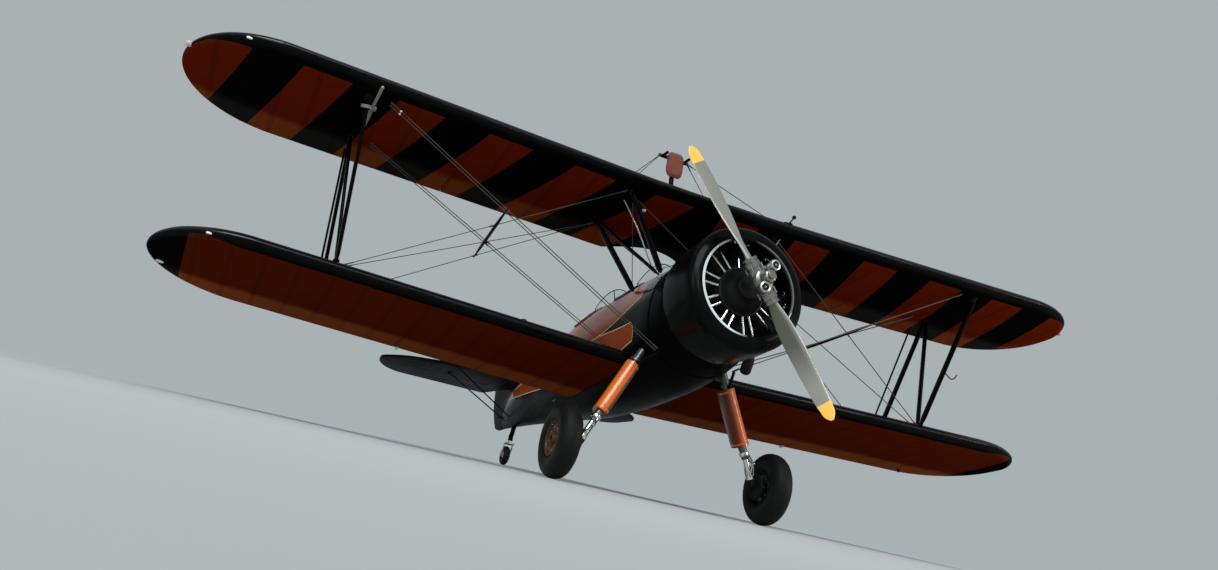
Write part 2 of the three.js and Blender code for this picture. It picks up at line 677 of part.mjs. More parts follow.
// Fin and rudder outline: edges as y by height
const FIN = [
  { z: 300, lead: 5700, trail: 7330 },
  { z: 480, lead: 5830, trail: 7390 },
  { z: 700, lead: 5965, trail: 7420 },
  { z: 950, lead: 6125, trail: 7360 },
  { z: 1200, lead: 6290, trail: 7235 },
  { z: 1380, lead: 6425, trail: 7080 },
  { z: 1490, lead: 6550, trail: 6930 },
  { z: 1540, lead: 6690, trail: 6780 },
]
const RUDDER_FOOT = [
  { z: -100, lead: 6650, trail: 6850 },
  { z: -60, lead: 6650, trail: 7000 },
  { z: 60, lead: 6650, trail: 7170 },
]

function finSurface(rows) {
  return loft(rows.map(({ z, lead, trail }) =>
    tailRing(lead, trail, TAIL_THICK, (y, up) => V(up, y, z))))
}

function splitRudder() {
  const { hingeY, foot, top } = RUDDER
  const nose = TAIL_NOSE
  const whole = finSurface(FIN)
  const full = join(whole, finSurface([...RUDDER_FOOT, FIN[0], FIN[1]]))
  const aft = block(400, 900, 2400, 0, hingeY + 450, 700)
  const round = bar(V(0, hingeY, foot), V(0, hingeY, top + 50), nose, 16)
  const hollow = bar(V(0, hingeY, foot - 300), V(0, hingeY, top + 300), nose + RUN, 16)
  let rudder = full.intersect(aft).add(full.intersect(round))
  let fin = cut(whole, aft, hollow)
  const axis = V(0, 0, 1)
  for (const z of [760, 1240]) {
    [fin, rudder] = hinge(fin, rudder, V(0, hingeY, z), axis, V(0, -1, 0), nose, nose + RUN + 10)
  }
  return { fin, rudder, hollow, aft }
}

const tail = splitRudder()
const tailCavity = join(tail.hollow, tail.aft)
const coneTrimmed = cut(tailCone, tailCavity)
const halves = SIDES.map(({ name, side }) => ({ name, side, ...splitElevator(side) }))
const coneSkin = join(
  coneTrimmed, shifted(coneTrimmed, SEAT, 0, 0), shifted(coneTrimmed, -SEAT, 0, 0),
  shifted(coneTrimmed, 0, SEAT, 0))
const coneSeat = lifted(coneSkin, SEAT)
const finSolid = cut(tail.fin, coneSeat)
const finSeat = join(finSolid, shifted(finSolid, SEAT, 0, 0), shifted(finSolid, -SEAT, 0, 0))

// Windscreens: three flat panes, one thick sheet folded round the front of the opening
function windscreen(y) {
  const low = y
  const high = y + 190
  const lift = 210
  const base = sectionAt(y + 60).top
  const half = 215
  const sheet = 8
  const foot = [
    V(-half - 55, low + 235, base - 190), V(-half + 50, low, base - 60),
    V(half - 50, low, base - 60), V(half + 55, low + 235, base - 190)]
  const head = [
    V(-half + 10, high + 120, base + lift - 60), V(-half + 85, high, base + lift),
    V(half - 85, high, base + lift), V(half - 10, high + 120, base + lift - 60)]
  const wall = (points, shift) => points.map(p => V(p.x * (1 - shift / half), p.y + shift, p.z))
  const loop = points => [...wall(points, 0), ...wall(points, sheet).reverse()]
  return cut(loft([loop(foot), loop(head)]), bodySeat)
}

function seat(cockpit) {
  const y = (cockpit.from + cockpit.to) / 2 + 60
  const z = FLOOR + 250
  const parts = [
    block(400, 400, 50, 0, y, z),
    block(400, 50, 560, 0, y + 200, z + 255),
    block(40, 400, 190, -200, y, z + 70),
    block(40, 400, 190, 200, y, z + 70),
    block(300, 260, 285, 0, y, FLOOR + 118.5),
  ]
  return cut(join(...parts), block(1400, 3200, 600 + 2 * SEAT, 0, 2700, FLOOR - 300))
}

// Standing rig on the centre section: mast, back frame, foot plate
const RIG = { y: 2060, top: 2130, plateY: 1780, half: 150 }
const deckZ = y => skin(UPPER, 0, (y - UPPER.y) / Math.cos(rad(UPPER.incidence)), 1).z
const upperDeck = lifted(upperCentre, SEAT)

// The post and its crossbar, each radius made larger by extra
function rigPost(extra = 0) {
  const head = V(0, RIG.y + 60, RIG.top - 20)
  return join(
    bar(V(0, RIG.y, deckZ(RIG.y) - 15), head, 26 + extra, 12),
    bar(head.clone().add(V(-RIG.half, 0, 0)), head.clone().add(V(RIG.half, 0, 0)), 20 + extra, 12))
}

function rigMast() {
  const plate = { y: RIG.y - 180, z: deckZ(RIG.y - 180) + 24, width: 420, depth: 400, thick: 16 }
  const arm = x => bar(V(x, RIG.y + 60, RIG.top - 20), V(x, RIG.y - 60, RIG.top - 30), 16, 10)
  const parts = [
    rigPost(),
    bar(V(0, RIG.y - 430, deckZ(RIG.y - 430) - 15), V(0, RIG.y + 30, RIG.top - 330), 18, 10),
    arm(RIG.half - 20),
    arm(20 - RIG.half),
    block(plate.width, plate.depth, plate.thick, 0, plate.y, plate.z),
  ]
  const legs = [[-150, -330], [150, -330], [-150, -100], [150, -100]].map(([x, dy]) =>
    bar(V(x, RIG.y + dy, deckZ(RIG.y + dy) - 12), V(x, RIG.y + dy, plate.z - 4), 12, 8))
  return cut(join(...parts, ...legs), upperDeck)
}

// The padded back rest, hollowed behind to sit round the post's head and crossbar
function rigPad() {
  return cut(block(2 * RIG.half - 80, 70, 330, 0, RIG.y + 15, RIG.top - 120), rigPost(SEAT))
}

const STAY = { x: 810, radius: 5 }
const wingDeck = lifted(join(upperCentre, ...SIDES.map(s => wings['upper_' + s.name].fixed)), SEAT)

// Two stays on each side, from an eye on the end of the crossbar to the wing's spars
function rigStays(side) {
  const eye = V(side * (RIG.half + SEAT), RIG.y + 60, RIG.top - 20)
  const top = eye.clone().add(V(side * 14, 0, 0))
  const feet = [FRONT_SPAR, REAR_SPAR].map(aft => sparPoint(UPPER, side, STAY.x, aft, 1, 6))
  return cut(
    join(
      bar(eye, eye.clone().add(V(side * 24, 0, 0)), 20, 10),
      ...feet.map(foot => bar(top, foot, STAY.radius, 6))),
    wingDeck)
}

// Two struts from the side of the body to the underside of each tailplane
const TAIL_BRACE = {
  outX: 960, bodyX: 70, bodyZ: -60, chord: 34, thick: 16, feet: [[6110, 6080], [6330, 6420]] }

function tailBrace(side, tailplane) {
  const { outX, bodyX, bodyZ, chord, thick, feet } = TAIL_BRACE
  const socket = y => V(side * outX, y, TAILPLANE.z - 20)
  const struts = feet.map(([low, high]) => strut(V(side * bodyX, low, bodyZ), socket(high), chord, thick))
  const [front, rear] = feet.map(([, high]) => socket(high).add(V(0, 0, -16)))
  const seat = lifted(tailplane, -SEAT)
  return cut(join(...struts, bar(front, rear, 11, 8)), seat, coneSkin)
}

function tailwheelLeg() {
  const { pivotY, z } = TAILWHEEL
  const parts = [
    strut(V(0, 6190, -100), V(0, pivotY - 5, z + 240), 90, 60, 12),
    bar(V(0, pivotY, z + 180), V(0, pivotY, z + 260), 32, 14),
  ]
  return cut(join(...parts), lifted(coneTrimmed, -SEAT))
}

function tailwheelFork() {
  const { y, z, radius, tube, axle, pivotY } = TAILWHEEL
  const crown = z + radius + 25
  const arm = tube + 16
  const parts = [
    bar(V(0, pivotY, crown - 18), V(0, pivotY, z + 180 - SEAT), 26, 14),
    block(2 * arm + 16, 70, 20, 0, pivotY + 25, crown - 8),
    strut(V(-arm, pivotY + 45, crown - 8), V(-arm, y, z), 46, 14, 10),
    strut(V(arm, pivotY + 45, crown - 8), V(arm, y, z), 46, 14, 10),
    bar(V(-arm - 5, y, z), V(arm + 5, y, z), axle, 12),
  ]
  return join(...parts)
}

// The exhaust stack comes out below the cowl's back edge on the left and turns aft
const cowlSpace = solid(turned([
  [0, 0], [COWL.radius + 5, 0], [COWL.radius + 5, COWL.back + 5], [0, COWL.back + 5]], 36))

function exhaust() {
  return cut(
    join(
      bar(V(300, 640, -330), V(425, 840, -400), 54, 14),
      bar(V(420, 832, -398), V(470, 965, -450), 54, 14)),
    bodySeat, cowlSpace)
}

// A round lamp on the forward corner of an upper wing's tip
const NAV_LAMP = { aft: 510, radius: 30 }

function navLamp(side, wing) {
  const { aft, radius } = NAV_LAMP
  const out = UPPER.half - TIP + TIP * Math.sqrt(1 - (1 - aft / (TIP_WIDEST * CHORD)) ** 2)
  const centre = wingPoint(UPPER, out + 8, aft - 3, 0)
  const ball = new THREE.SphereGeometry(radius, 10, 6)
  ball.translate(side * centre.x, centre.y, centre.z)
  return cut(solid(ball), shifted(wing, side * SEAT, 0, 0), shifted(wing, 0, -SEAT, 0), wing)
}

// Aileron slave struts: pinned to an ear on the lower aileron, the head stands free below the upper one
function slavePin(side, x) {
  const point = skin(LOWER, side * x, AILERON.hinge + SLAVE.aft, 1)
  point.z += SLAVE.over
  return point
}

function slaveEar(side, aileron) {
  const x = STRUT.lowerX
  const pin = slavePin(side, x)
  const plate = block(SLAVE.ear, 36, SLAVE.over + 40, pin.x, pin.y, pin.z - SLAVE.over / 2)
  const hole = bar(pin.clone().add(V(-20, 0, 0)), pin.clone().add(V(20, 0, 0)), SLAVE.bore, 12)
  return cut(aileron.add(plate), hole)
}

function slaveStrut(side) {
  const pin = slavePin(side, STRUT.lowerX)
  const start = pin.clone().add(V(side * (SLAVE.ear / 2 + RUN + SLAVE.radius), 0, 0))
  const head = skin(UPPER, side * STRUT.upperX, AILERON.hinge + SLAVE.aft, -1)
  head.z -= SLAVE.gap
  return join(
    bar(start, head, SLAVE.radius, 10),
    bar(pin.clone().add(V(-side * 14, 0, 0)), start, SLAVE.pin, 12))
}

// Assembly
const level = new THREE.Group()

const SLIVER = 50

// Names a solid, drops the paper-thin slivers that cuts leave, and hangs it at its pivot
function mesh(name, body, material, parent = level, pivot = V(0, 0, 0)) {
  const whole = join(...body.decompose().filter(part => Math.abs(part.volume()) > SLIVER))
  const piece = new THREE.Mesh(shape(whole.translate([-pivot.x, -pivot.y, -pivot.z])), material)
  piece.name = name
  parent.add(piece)
  return piece
}

function pivotGroup(pivot) {
  const group = new THREE.Group()
  group.position.copy(pivot)
  level.add(group)
  return group
}

mesh('nose_cowling', noseCowling, BLACK)
mesh('fuselage_cabin', cabin, ORANGE)
mesh('fuselage_tail_cone', coneTrimmed, ORANGE)
mesh('engine_ring_cowl', cowlRing(), BLACK)
mesh('round_engine', cut(engine(), shifted(noseCowling, 0, -SEAT, 0)), STEEL)
mesh('exhaust_stack', exhaust(), STEEL)
for (const cockpit of COCKPITS) {
  mesh('seat_' + cockpit.name, seat(cockpit), SEAT_CLOTH)
  mesh('windscreen_' + cockpit.name, windscreen(cockpit.from - 190), GLASS)
}
mesh('upper_wing_centre', upperCentre, ORANGE)
for (const { name, side } of SIDES) {
  for (const level of ['upper', 'lower']) {
    const wing = wings[level + '_' + name]
    mesh(level + '_wing_' + name, wing.fixed, ORANGE)
    mesh(level + '_aileron_' + name, wing.moving, ORANGE, pivotGroup(wing.pivot), wing.pivot)
  }
  mesh('wing_struts_' + name, wingStruts(side), BLACK)
  const slave = slavePin(side, STRUT.lowerX)
  mesh('slave_strut_' + name, slaveStrut(side), BLACK, pivotGroup(slave), slave)
  mesh('cabane_struts_' + name, cabane(side), BLACK)
  mesh('bracing_wires_' + name, bracing(side), STEEL)
  mesh('gear_leg_' + name, gearLeg(side), CHROME)
  mesh('gear_leg_cover_' + name, cut(legCover(side), bodySeat), BRIGHT_ORANGE)
  mesh('nav_lamp_' + name, navLamp(side, wings['upper_' + name].fixed), LAMP)
  const centre = V(side * WHEEL.x, WHEEL.y, WHEEL.z)
  const wheel = pivotGroup(centre)
  const rim = 150
  mesh('tyre_' + name, sideways(tyre(WHEEL.radius, WHEEL.tube, rim, 28, 10)), RUBBER, wheel)
  mesh('wheel_hub_' + name, sideways(wheelHub(rim, 2 * WHEEL.tube, WHEEL.axle, 28)), BRIGHT_ORANGE, wheel)
}
const prop = pivotGroup(V(0, 0, 0))
prop.rotation.y = rad(-PROP_TILT)
mesh('propeller', propeller(), BLADE, prop)
for (const half of halves) {
  const tailplane = cut(half.fixed, coneSeat, finSeat, tailCavity)
  mesh('tailplane_' + half.name, tailplane, BLACK)
  mesh('tail_brace_' + half.name, tailBrace(half.side, tailplane), BLACK)
  mesh('elevator_' + half.name, half.moving, BLACK, pivotGroup(half.pivot), half.pivot)
}
mesh('fin', finSolid, BLACK)
const rudderPivot = V(0, RUDDER.hingeY, 700)
mesh('rudder', tail.rudder, BLACK, pivotGroup(rudderPivot), rudderPivot)
mesh('strut_arm', strutArm(), STEEL)
mesh('rig_mast', rigMast(), BLACK)
for (const { name, side } of SIDES) mesh('rig_stays_' + name, rigStays(side), STEEL)
mesh('rig_pad', rigPad(), SEAT_CLOTH)
mesh('tailwheel_leg', tailwheelLeg(), BLACK)
const swivel = V(0, TAILWHEEL.pivotY, TAILWHEEL.z)
mesh('tailwheel_fork', tailwheelFork(), STEEL, pivotGroup(swivel), swivel)
const tailAxle = pivotGroup(V(0, TAILWHEEL.y, TAILWHEEL.z))
mesh('tailwheel', sideways(join(
  tyre(TAILWHEEL.radius, TAILWHEEL.tube, 60, 18, 8),
  wheelHub(60 + SEAT + 2, 2 * TAILWHEEL.tube, TAILWHEEL.axle, 18))), RUBBER, tailAxle)

// Stand the level airframe on its main wheels and tail wheel
const aftward = TAILWHEEL.y - WHEEL.y
const upward = TAILWHEEL.z - WHEEL.z
const apart = Math.hypot(aftward, upward)
const parked = Math.acos((TAILWHEEL.radius - WHEEL.radius) / apart) - Math.atan2(aftward, upward)
level.rotation.x = -parked
const aircraft = new THREE.Group()
aircraft.add(level)
aircraft.updateMatrixWorld(true)
const bounds = new THREE.Box3().setFromObject(aircraft, true)
aircraft.position.set(0, -(bounds.min.y + bounds.max.y) / 2, -bounds.min.z)
aircraft.updateMatrixWorld(true)

export default aircraft
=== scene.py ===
# Tandem two-seat biplane: looks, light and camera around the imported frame.
# Shapes are worked out in the level airframe's metres (hub at the origin, x to the left
# wing tip, y aft, z up) and turned into the row frame when their mesh is made.
import bmesh
import bpy
import math
import numpy as np
from mathutils import Matrix


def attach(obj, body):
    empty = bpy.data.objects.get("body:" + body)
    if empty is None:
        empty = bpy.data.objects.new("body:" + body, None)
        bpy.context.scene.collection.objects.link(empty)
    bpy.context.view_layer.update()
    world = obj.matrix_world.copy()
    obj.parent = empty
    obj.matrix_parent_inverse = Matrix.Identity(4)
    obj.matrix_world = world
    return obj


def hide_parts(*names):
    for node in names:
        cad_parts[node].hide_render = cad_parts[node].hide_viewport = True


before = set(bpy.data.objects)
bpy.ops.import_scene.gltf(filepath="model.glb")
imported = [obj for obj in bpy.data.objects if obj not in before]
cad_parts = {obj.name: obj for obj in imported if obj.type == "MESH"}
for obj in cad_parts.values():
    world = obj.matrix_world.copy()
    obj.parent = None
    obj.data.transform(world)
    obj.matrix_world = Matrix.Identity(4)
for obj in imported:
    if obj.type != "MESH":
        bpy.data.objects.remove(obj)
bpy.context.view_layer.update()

# The parked attitude: the level airframe's origin and axes in the row frame
PARKED = math.radians(11.99505)
ORIGIN = np.array((0.0, -3.602006, 1.965702))
AXES = np.array((
    (1, 0, 0),
    (0, math.cos(PARKED), -math.sin(PARKED)),
    (0, math.sin(PARKED), math.cos(PARKED)),
))
SIDES = (("left", 1), ("right", -1))
AFT = np.array((0, 1, 0))


def row(points):
    """Level metres to the row frame: the origin plus x, y and z times the three axes."""
    return ORIGIN + np.asarray(points, float) @ AXES


def xyz(x, y, z):
    """Three arrays or numbers, stretched to one shape, as points."""
    return np.stack(np.broadcast_arrays(x, y, z), -1).astype(float)


def unit(v):
    """A direction, or a row of them, brought to a length of one."""
    v = np.asarray(v, float)
    return v / np.linalg.norm(v, axis=-1, keepdims=True)


# Meshes


def shell(grid, around=True, along=False, ends=True, coat=0, **marks):
    """The quads of a grid of points, with a fan over its first and last ring.

    A closed shell whose volume comes out negative has its faces turned round.
    """
    rows, cols = grid.shape[:2]
    i = np.arange(rows if along else rows - 1)[:, None]
    j = np.arange(cols if around else cols - 1)[None, :]
    right, down = (j + 1) % cols, (i + 1) % rows
    corners = [i * cols + j, i * cols + right, down * cols + right, down * cols + j]
    quads = np.stack(np.broadcast_arrays(*corners), -1).reshape(-1, 4)
    points = grid.reshape(-1, 3)
    tris = np.zeros((0, 3), int)
    marks = {key: np.broadcast_to(value, (rows, cols)).ravel() for key, value in marks.items()}
    if ends and around and not along:
        k = np.arange(cols)
        top, base = rows * cols, (rows - 1) * cols
        first = np.stack((np.full(cols, top), (k + 1) % cols, k), -1)
        last = np.stack((np.full(cols, top + 1), base + k, base + (k + 1) % cols), -1)
        tris = np.concatenate((first, last))
        points = np.concatenate((points, grid[:1].mean(1), grid[-1:].mean(1)))
        marks = {key: np.append(value, (value[0], value[-1])) for key, value in marks.items()}
    a, b, c, d = (points[quads[:, n]] for n in range(4))
    volume = (a * np.cross(b, c)).sum() + (a * np.cross(c, d)).sum()
    if len(tris):
        volume += (points[tris[:, 0]] * np.cross(points[tris[:, 1]], points[tris[:, 2]])).sum()
    if volume < 0:
        quads, tris = quads[:, ::-1], tris[:, ::-1]
    return {"points": points, "quads": quads, "tris": tris, "coat": coat, "marks": marks}


def piece(name, shells, finish, body="airframe", replaces=(), angle=35, level=True):
    """One mesh object of several shells, riding on a body and standing for CAD nodes."""
    starts = np.cumsum([0] + [len(s["points"]) for s in shells])
    points = np.concatenate([s["points"] for s in shells])
    faces, coats = [], []
    for s, start in zip(shells, starts):
        faces += (s["quads"] + start).tolist() + (s["tris"] + start).tolist()
        coats += [s["coat"]] * (len(s["quads"]) + len(s["tris"]))
    mesh = bpy.data.meshes.new(name)
    mesh.from_pydata(row(points) if level else points, [], faces)
    for key in sorted({key for s in shells for key in s["marks"]}):
        values = np.concatenate([s["marks"].get(key, np.zeros(len(s["points"]))) for s in shells])
        mesh.attributes.new(key, "FLOAT", "POINT").data.foreach_set("value", values.astype(np.float32))
    for material in finish if isinstance(finish, (list, tuple)) else [finish]:
        mesh.materials.append(material)
    mesh.polygons.foreach_set("material_index", np.array(coats, np.int32))
    mesh.polygons.foreach_set("use_smooth", np.ones(len(faces), bool))
    mesh.set_sharp_from_angle(angle=math.radians(angle))
    mesh.update()
    made = bpy.data.objects.new(name, mesh)
    bpy.context.scene.collection.objects.link(made)
    if body:
        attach(made, body)
    if replaces:
        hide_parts(*([replaces] if isinstance(replaces, str) else replaces))
    return made


def carried(path, section, size=1.0, up=(0, 1, 0), closed=False):
    """A section carried along a path: each ring lies square to the path's direction.

    The section's first number goes along up made square to the path, its second across,
    both times size, which may change from ring to ring and differ for the two.
    """
    path = np.asarray(path, float)
    if closed:
        ahead = np.roll(path, -1, 0) - np.roll(path, 1, 0)
    else:
        ahead = np.gradient(path, axis=0)
    ahead = unit(ahead)
    up = np.broadcast_to(np.asarray(up, float), path.shape)
    first = unit(up - (up * ahead).sum(-1, keepdims=True) * ahead)
    second = np.cross(ahead, first)
    size = np.broadcast_to(np.asarray(size, float).reshape(-1, 1) if np.ndim(size) < 2 else size,
                           (len(path), 2))
    s = np.asarray(section, float)
    return (path[:, None] + first[:, None] * (s[None, :, :1] * size[:, None, :1])
            + second[:, None] * (s[None, :, 1:] * size[:, None, 1:]))


def circle(count):
    """Cosine and sine of even angles: a round section of radius one."""
    a = np.linspace(0, 2 * np.pi, count, endpoint=False)
    return np.stack((np.cos(a), np.sin(a)), -1)


def line(a, b, count=2):
    """Even points from a to b."""
    t = np.linspace(0, 1, count)[:, None]
    return np.asarray(a, float) * (1 - t) + np.asarray(b, float) * t


def side_axis(a, b):
    """An axis that isn't along the line from a to b."""
    along = unit(np.subtract(b, a))
    return (0, 1, 0) if abs(along[1]) < 0.8 else (0, 0, 1)


def bar(a, b, radius, sides=12):
    """A round bar with a small chamfer at both ends: radius by distance along the line."""
    length = np.linalg.norm(np.subtract(b, a))
    edge = min(0.15 * radius, 0.2 * length) / length
    t = np.array((0, edge, 1 - edge, 1))
    r = radius * np.array((0.85, 1, 1, 0.85))
    path = np.asarray(a, float) + t[:, None] * np.subtract(b, a)
    return shell(carried(path, circle(sides), r, side_axis(a, b)))


def tubing(path, radius, sides=10, up=(0, 1, 0)):
    """A round rod bent along a path."""
    return shell(carried(path, circle(sides), radius, up))


def hoop(path, radius, sides, up):
    """A round rod bent along a closed path."""
    return shell(carried(path, circle(sides), radius, up, closed=True), along=True, ends=False)


def turned(profile, centre=(0, 0, 0), axis=(0, 1, 0), sides=48, along=False, **extra):
    """A profile of radius and distance turned about an axis through centre."""
    profile = np.asarray(profile, float)
    axis = unit(axis)
    first = unit(np.cross(axis, (0, 0, 1) if abs(axis[2]) < 0.9 else (1, 0, 0)))
    second = np.cross(axis, first)
    ring = circle(sides)
    out = ring[:, :1] * first + ring[:, 1:] * second
    grid = np.asarray(centre, float) + profile[:, None, 1:] * axis + profile[:, None, :1] * out[None]
    return shell(grid, along=along, ends=not along, **extra)


def block(centre, size, edge=0.003, turn=0.0):
    """A box with chamfered edges: a rounded square carried up in five rings.

    turn tips it about the x axis.
    """
    w, d, h = (v / 2 for v in size)
    e = min(edge, 0.45 * min(w, d, h))
    rings = []
    for inset, up in ((e, -h), (0, -h + e), (0, h - e), (e, h)):
        a, b = w - inset, d - inset
        rings.append([(x, y, up) for x, y in (
            (a - e, -b), (a, -b + e), (a, b - e), (a - e, b),
            (-a + e, b), (-a, b - e), (-a, -b + e), (-a + e, -b))])
    grid = np.array(rings)
    c, s = math.cos(turn), math.sin(turn)
    grid = grid @ np.array(((1, 0, 0), (0, c, s), (0, -s, c)))
    return shell(grid + np.asarray(centre, float))


def ball(centre, radius, sides=16):
    """A ball: circles of latitude from pole to pole."""
    a = np.linspace(0.06, np.pi - 0.06, sides // 2 + 1)
    return turned(np.stack((radius * np.sin(a), -radius * np.cos(a)), -1), centre, sides=sides)


def mirrored(half):
    """A turned outline and its mirror image: the same points again, on the other side."""
    return [*half, *((radius, -across) for radius, across in half[::-1])]


def on_shaft(radius, y, angle):
    """A point at a radius from the propeller shaft, angle turned from the top."""
    return np.array((radius * math.sin(angle), y, radius * math.cos(angle)))


def ease(a, b, x):
    """0 before a, 1 after b, and a smooth step between."""
    t = np.clip((x - a) / (b - a), 0, 1)
    return t * t * (3 - 2 * t)


def through(xs, ys, x):
    """A smooth curve through points: a cubic whose slope at each point is its neighbours'."""
    xs, ys = np.asarray(xs, float), np.asarray(ys, float)
    slope = np.gradient(ys, xs)
    i = np.clip(np.searchsorted(xs, x) - 1, 0, len(xs) - 2)
    h = xs[i + 1] - xs[i]
    t = np.clip((x - xs[i]) / h, 0, 1)
    return (ys[i] * (1 + 2 * t) * (1 - t) ** 2 + ys[i + 1] * t * t * (3 - 2 * t)
            + slope[i] * h * t * (1 - t) ** 2 + slope[i + 1] * h * t * t * (t - 1))


def smooth_line(points, count):
    """A smooth line through points: the smooth curve through each of their three numbers."""
    points = np.asarray(points, float)
    t = np.linspace(0, len(points) - 1, count)
    return np.stack([through(np.arange(len(points)), points[:, n], t) for n in range(3)], -1)


# Finishes


class Finish:
    """A procedural material: a shader and the few node chains that this aircraft needs."""

    def __init__(self, name, colour, rough=0.4, metal=0.0, coat=0.0, **sockets):
        self.material = bpy.data.materials.new(name)
        self.material.use_nodes = True
        self.tree = self.material.node_tree
        self.shader = self.tree.nodes["Principled BSDF"]
        self.place = self.tree.nodes.new("ShaderNodeTexCoord").outputs["Object"]
        self.height = None
        for key, value in {"Base Color": (*colour, 1), "Roughness": rough, "Metallic": metal,
                           "Coat Weight": coat, **sockets}.items():
            self.shader.inputs[key].default_value = value

    def node(self, kind, *inputs, **settings):
        """A node with its settings, and its sockets fed in order."""
        made = self.tree.nodes.new("ShaderNode" + kind)
        for key, value in settings.items():
            setattr(made, key, value)
        for socket, value in zip(made.inputs, inputs):
            self.feed(socket, value)
        return made

    def feed(self, socket, value):
        """Links a socket, or gives it a constant."""
        if isinstance(value, bpy.types.NodeSocket):
            self.tree.links.new(value, socket)
        elif value is not None:
            socket.default_value = value

    def calc(self, operation, *values):
        """A value worked out from others by one operation."""
        return self.node("Math", *values, operation=operation).outputs[0]

    def product(self, a, b):
        """a times b."""
        return self.calc("MULTIPLY", a, b)

    def apart(self, a, b):
        """How far two values are from each other."""
        return self.calc("ABSOLUTE", self.calc("SUBTRACT", a, b))

    def off_beat(self, value):
        """How far a value is from the middle between two whole numbers."""
        return self.apart(self.calc("FRACT", value), 0.5)

    def across(self, x, z, a, b):
        """x times a plus z times b."""
        return self.calc("ADD", self.product(x, a), self.product(z, b))

    def reach(self, x, z):
        """Distance from the shaft: the root of the sum of the squares."""
        return self.calc("SQRT", self.across(x, z, x, z))

    def level(self):
        """x, y and z of the level airframe from the row frame's Object coordinates."""
        mapping = self.node("Mapping", self.place, tuple(-(ORIGIN @ AXES.T)), (PARKED, 0, 0))
        return self.node("SeparateXYZ", mapping.outputs[0]).outputs

    def mark(self, name):
        """A value that the mesh holds at its points."""
        return self.node("Attribute", attribute_name=name).outputs["Fac"]

    def noise(self, scale, detail=3.0, rough=0.5, stretch=None):
        """Noise over the object's coordinates, stretched along some of them."""
        source = self.place
        if stretch:
            source = self.node("Mapping", source, None, None, stretch).outputs[0]
        made = self.node("TexNoise", source)
        for key, value in (("Scale", scale), ("Detail", detail), ("Roughness", rough)):
            made.inputs[key].default_value = value
        return made.outputs["Fac"]

    def span(self, value, low, high, start=0.0, end=1.0):
        """Start below low, end above high, and a straight slope between."""
        return self.node("MapRange", value, low, high, start, end).outputs[0]

    def mix(self, factor, a, b, blend="MIX"):
        """Colour a with b laid over it by factor, in the way that blend names."""
        made = self.tree.nodes.new("ShaderNodeMix")
        made.data_type, made.blend_type = "RGBA", blend
        for socket, value in ((made.inputs[0], factor), (made.inputs[6], a), (made.inputs[7], b)):
            self.feed(socket, (*value, 1) if isinstance(value, tuple) and len(value) == 3 else value)
        return made.outputs[2]

    def bump(self, height, distance, strength=1.0):
        """Adds a relief on top of the ones before it."""
        made = self.tree.nodes.new("ShaderNodeBump")
        made.inputs["Strength"].default_value = strength
        made.inputs["Distance"].default_value = distance
        self.feed(made.inputs["Height"], height)
        if self.height:
            self.feed(made.inputs["Normal"], self.height)
        self.height = made.outputs[0]
        self.feed(self.shader.inputs["Normal"], self.height)
        return self

    def colour(self, value):
        """Gives the shader its colour."""
        self.feed(self.shader.inputs["Base Color"], value)
        return self

    def rough(self, value):
        """Gives the shader its roughness."""
        self.feed(self.shader.inputs["Roughness"], value)
        return self


# Paint colours: cloth orange, darker oranges that paint shade on the wings' undersides, the gloss orange of
# the legs and a darker one that paints shade on them, and a black lightened as painted light
ORANGE = (0.22, 0.045, 0.006)
# darker oranges: painted shade on the undersides of the upper and lower wings
UNDERSIDE_SHADE_UPPER = (0.13, 0.012, 0.0012)
UNDERSIDE_SHADE_LOWER = (0.09, 0.010, 0.0012)
DECK_ORANGE = (0.31, 0.046, 0.005)
BRIGHT = (0.66, 0.125, 0.004)
# a darker orange: painted shade on the inboard sides of the leg covers
PAINTED_LEG_SHADE = (0.13, 0.018, 0.001)
BLACK = (0.0022, 0.0022, 0.0024)
# a lighter black: painted light in the wings' rear strip
PAINTED_LIT_BLACK = (0.011, 0.011, 0.010)
CREAM = (0.62, 0.5, 0.3)


def worn(finish, base, amount=0.25, scale=2.2):
    """A base colour with broad uneven dulling, fine grime and streaks along the flow."""
    patches = finish.span(finish.noise(scale, 5.0, 0.6), 0.35, 0.75)
    grime = finish.span(finish.noise(38.0, 4.0, 0.65, stretch=(1.0, 0.25, 1.0)), 0.55, 0.8)
    faded = finish.mix(finish.product(patches, amount), base, (0.30, 0.22, 0.15), "SOFT_LIGHT")
    grime_and_painted_shade = finish.mix(finish.product(grime, amount * 0.5), faded, (0.012, 0.009, 0.007))
    finish.colour(grime_and_painted_shade)
    finish.rough(finish.calc("ADD", finish.shader.inputs["Roughness"].default_value,
                             finish.product(patches, 0.16)))
    return finish


def weathered(name, colour, rough, amount, scale, metal=0.0, coat=0.0, **sockets):
    """A finish of one colour, worn by an amount in patches of a scale."""
    return worn(Finish(name, colour, rough, metal, coat, **sockets), colour, amount, scale)


def bare_metal(name, colour, rough, scale, detail, smooth, dull, stretch=None):
    """Bare metal whose roughness runs from smooth to dull with a fine noise."""
    made = Finish(name, colour, rough, 1.0)
    grain = made.noise(scale, detail, stretch=stretch)
    return made.rough(made.span(grain, 0.3, 0.7, smooth, dull)).material


def enamel(name, colour, rough=0.2, coat=0.04, shine=0.02):
    """Gloss enamel on metal: uneven dulling and a faint orange peel."""
    made = Finish(name, colour, rough, coat=coat, **{"Specular IOR Level": shine})
    worn(made, colour, 0.3)
    made.bump(made.noise(160.0, 2.0), 0.0004, 0.35)
    return made


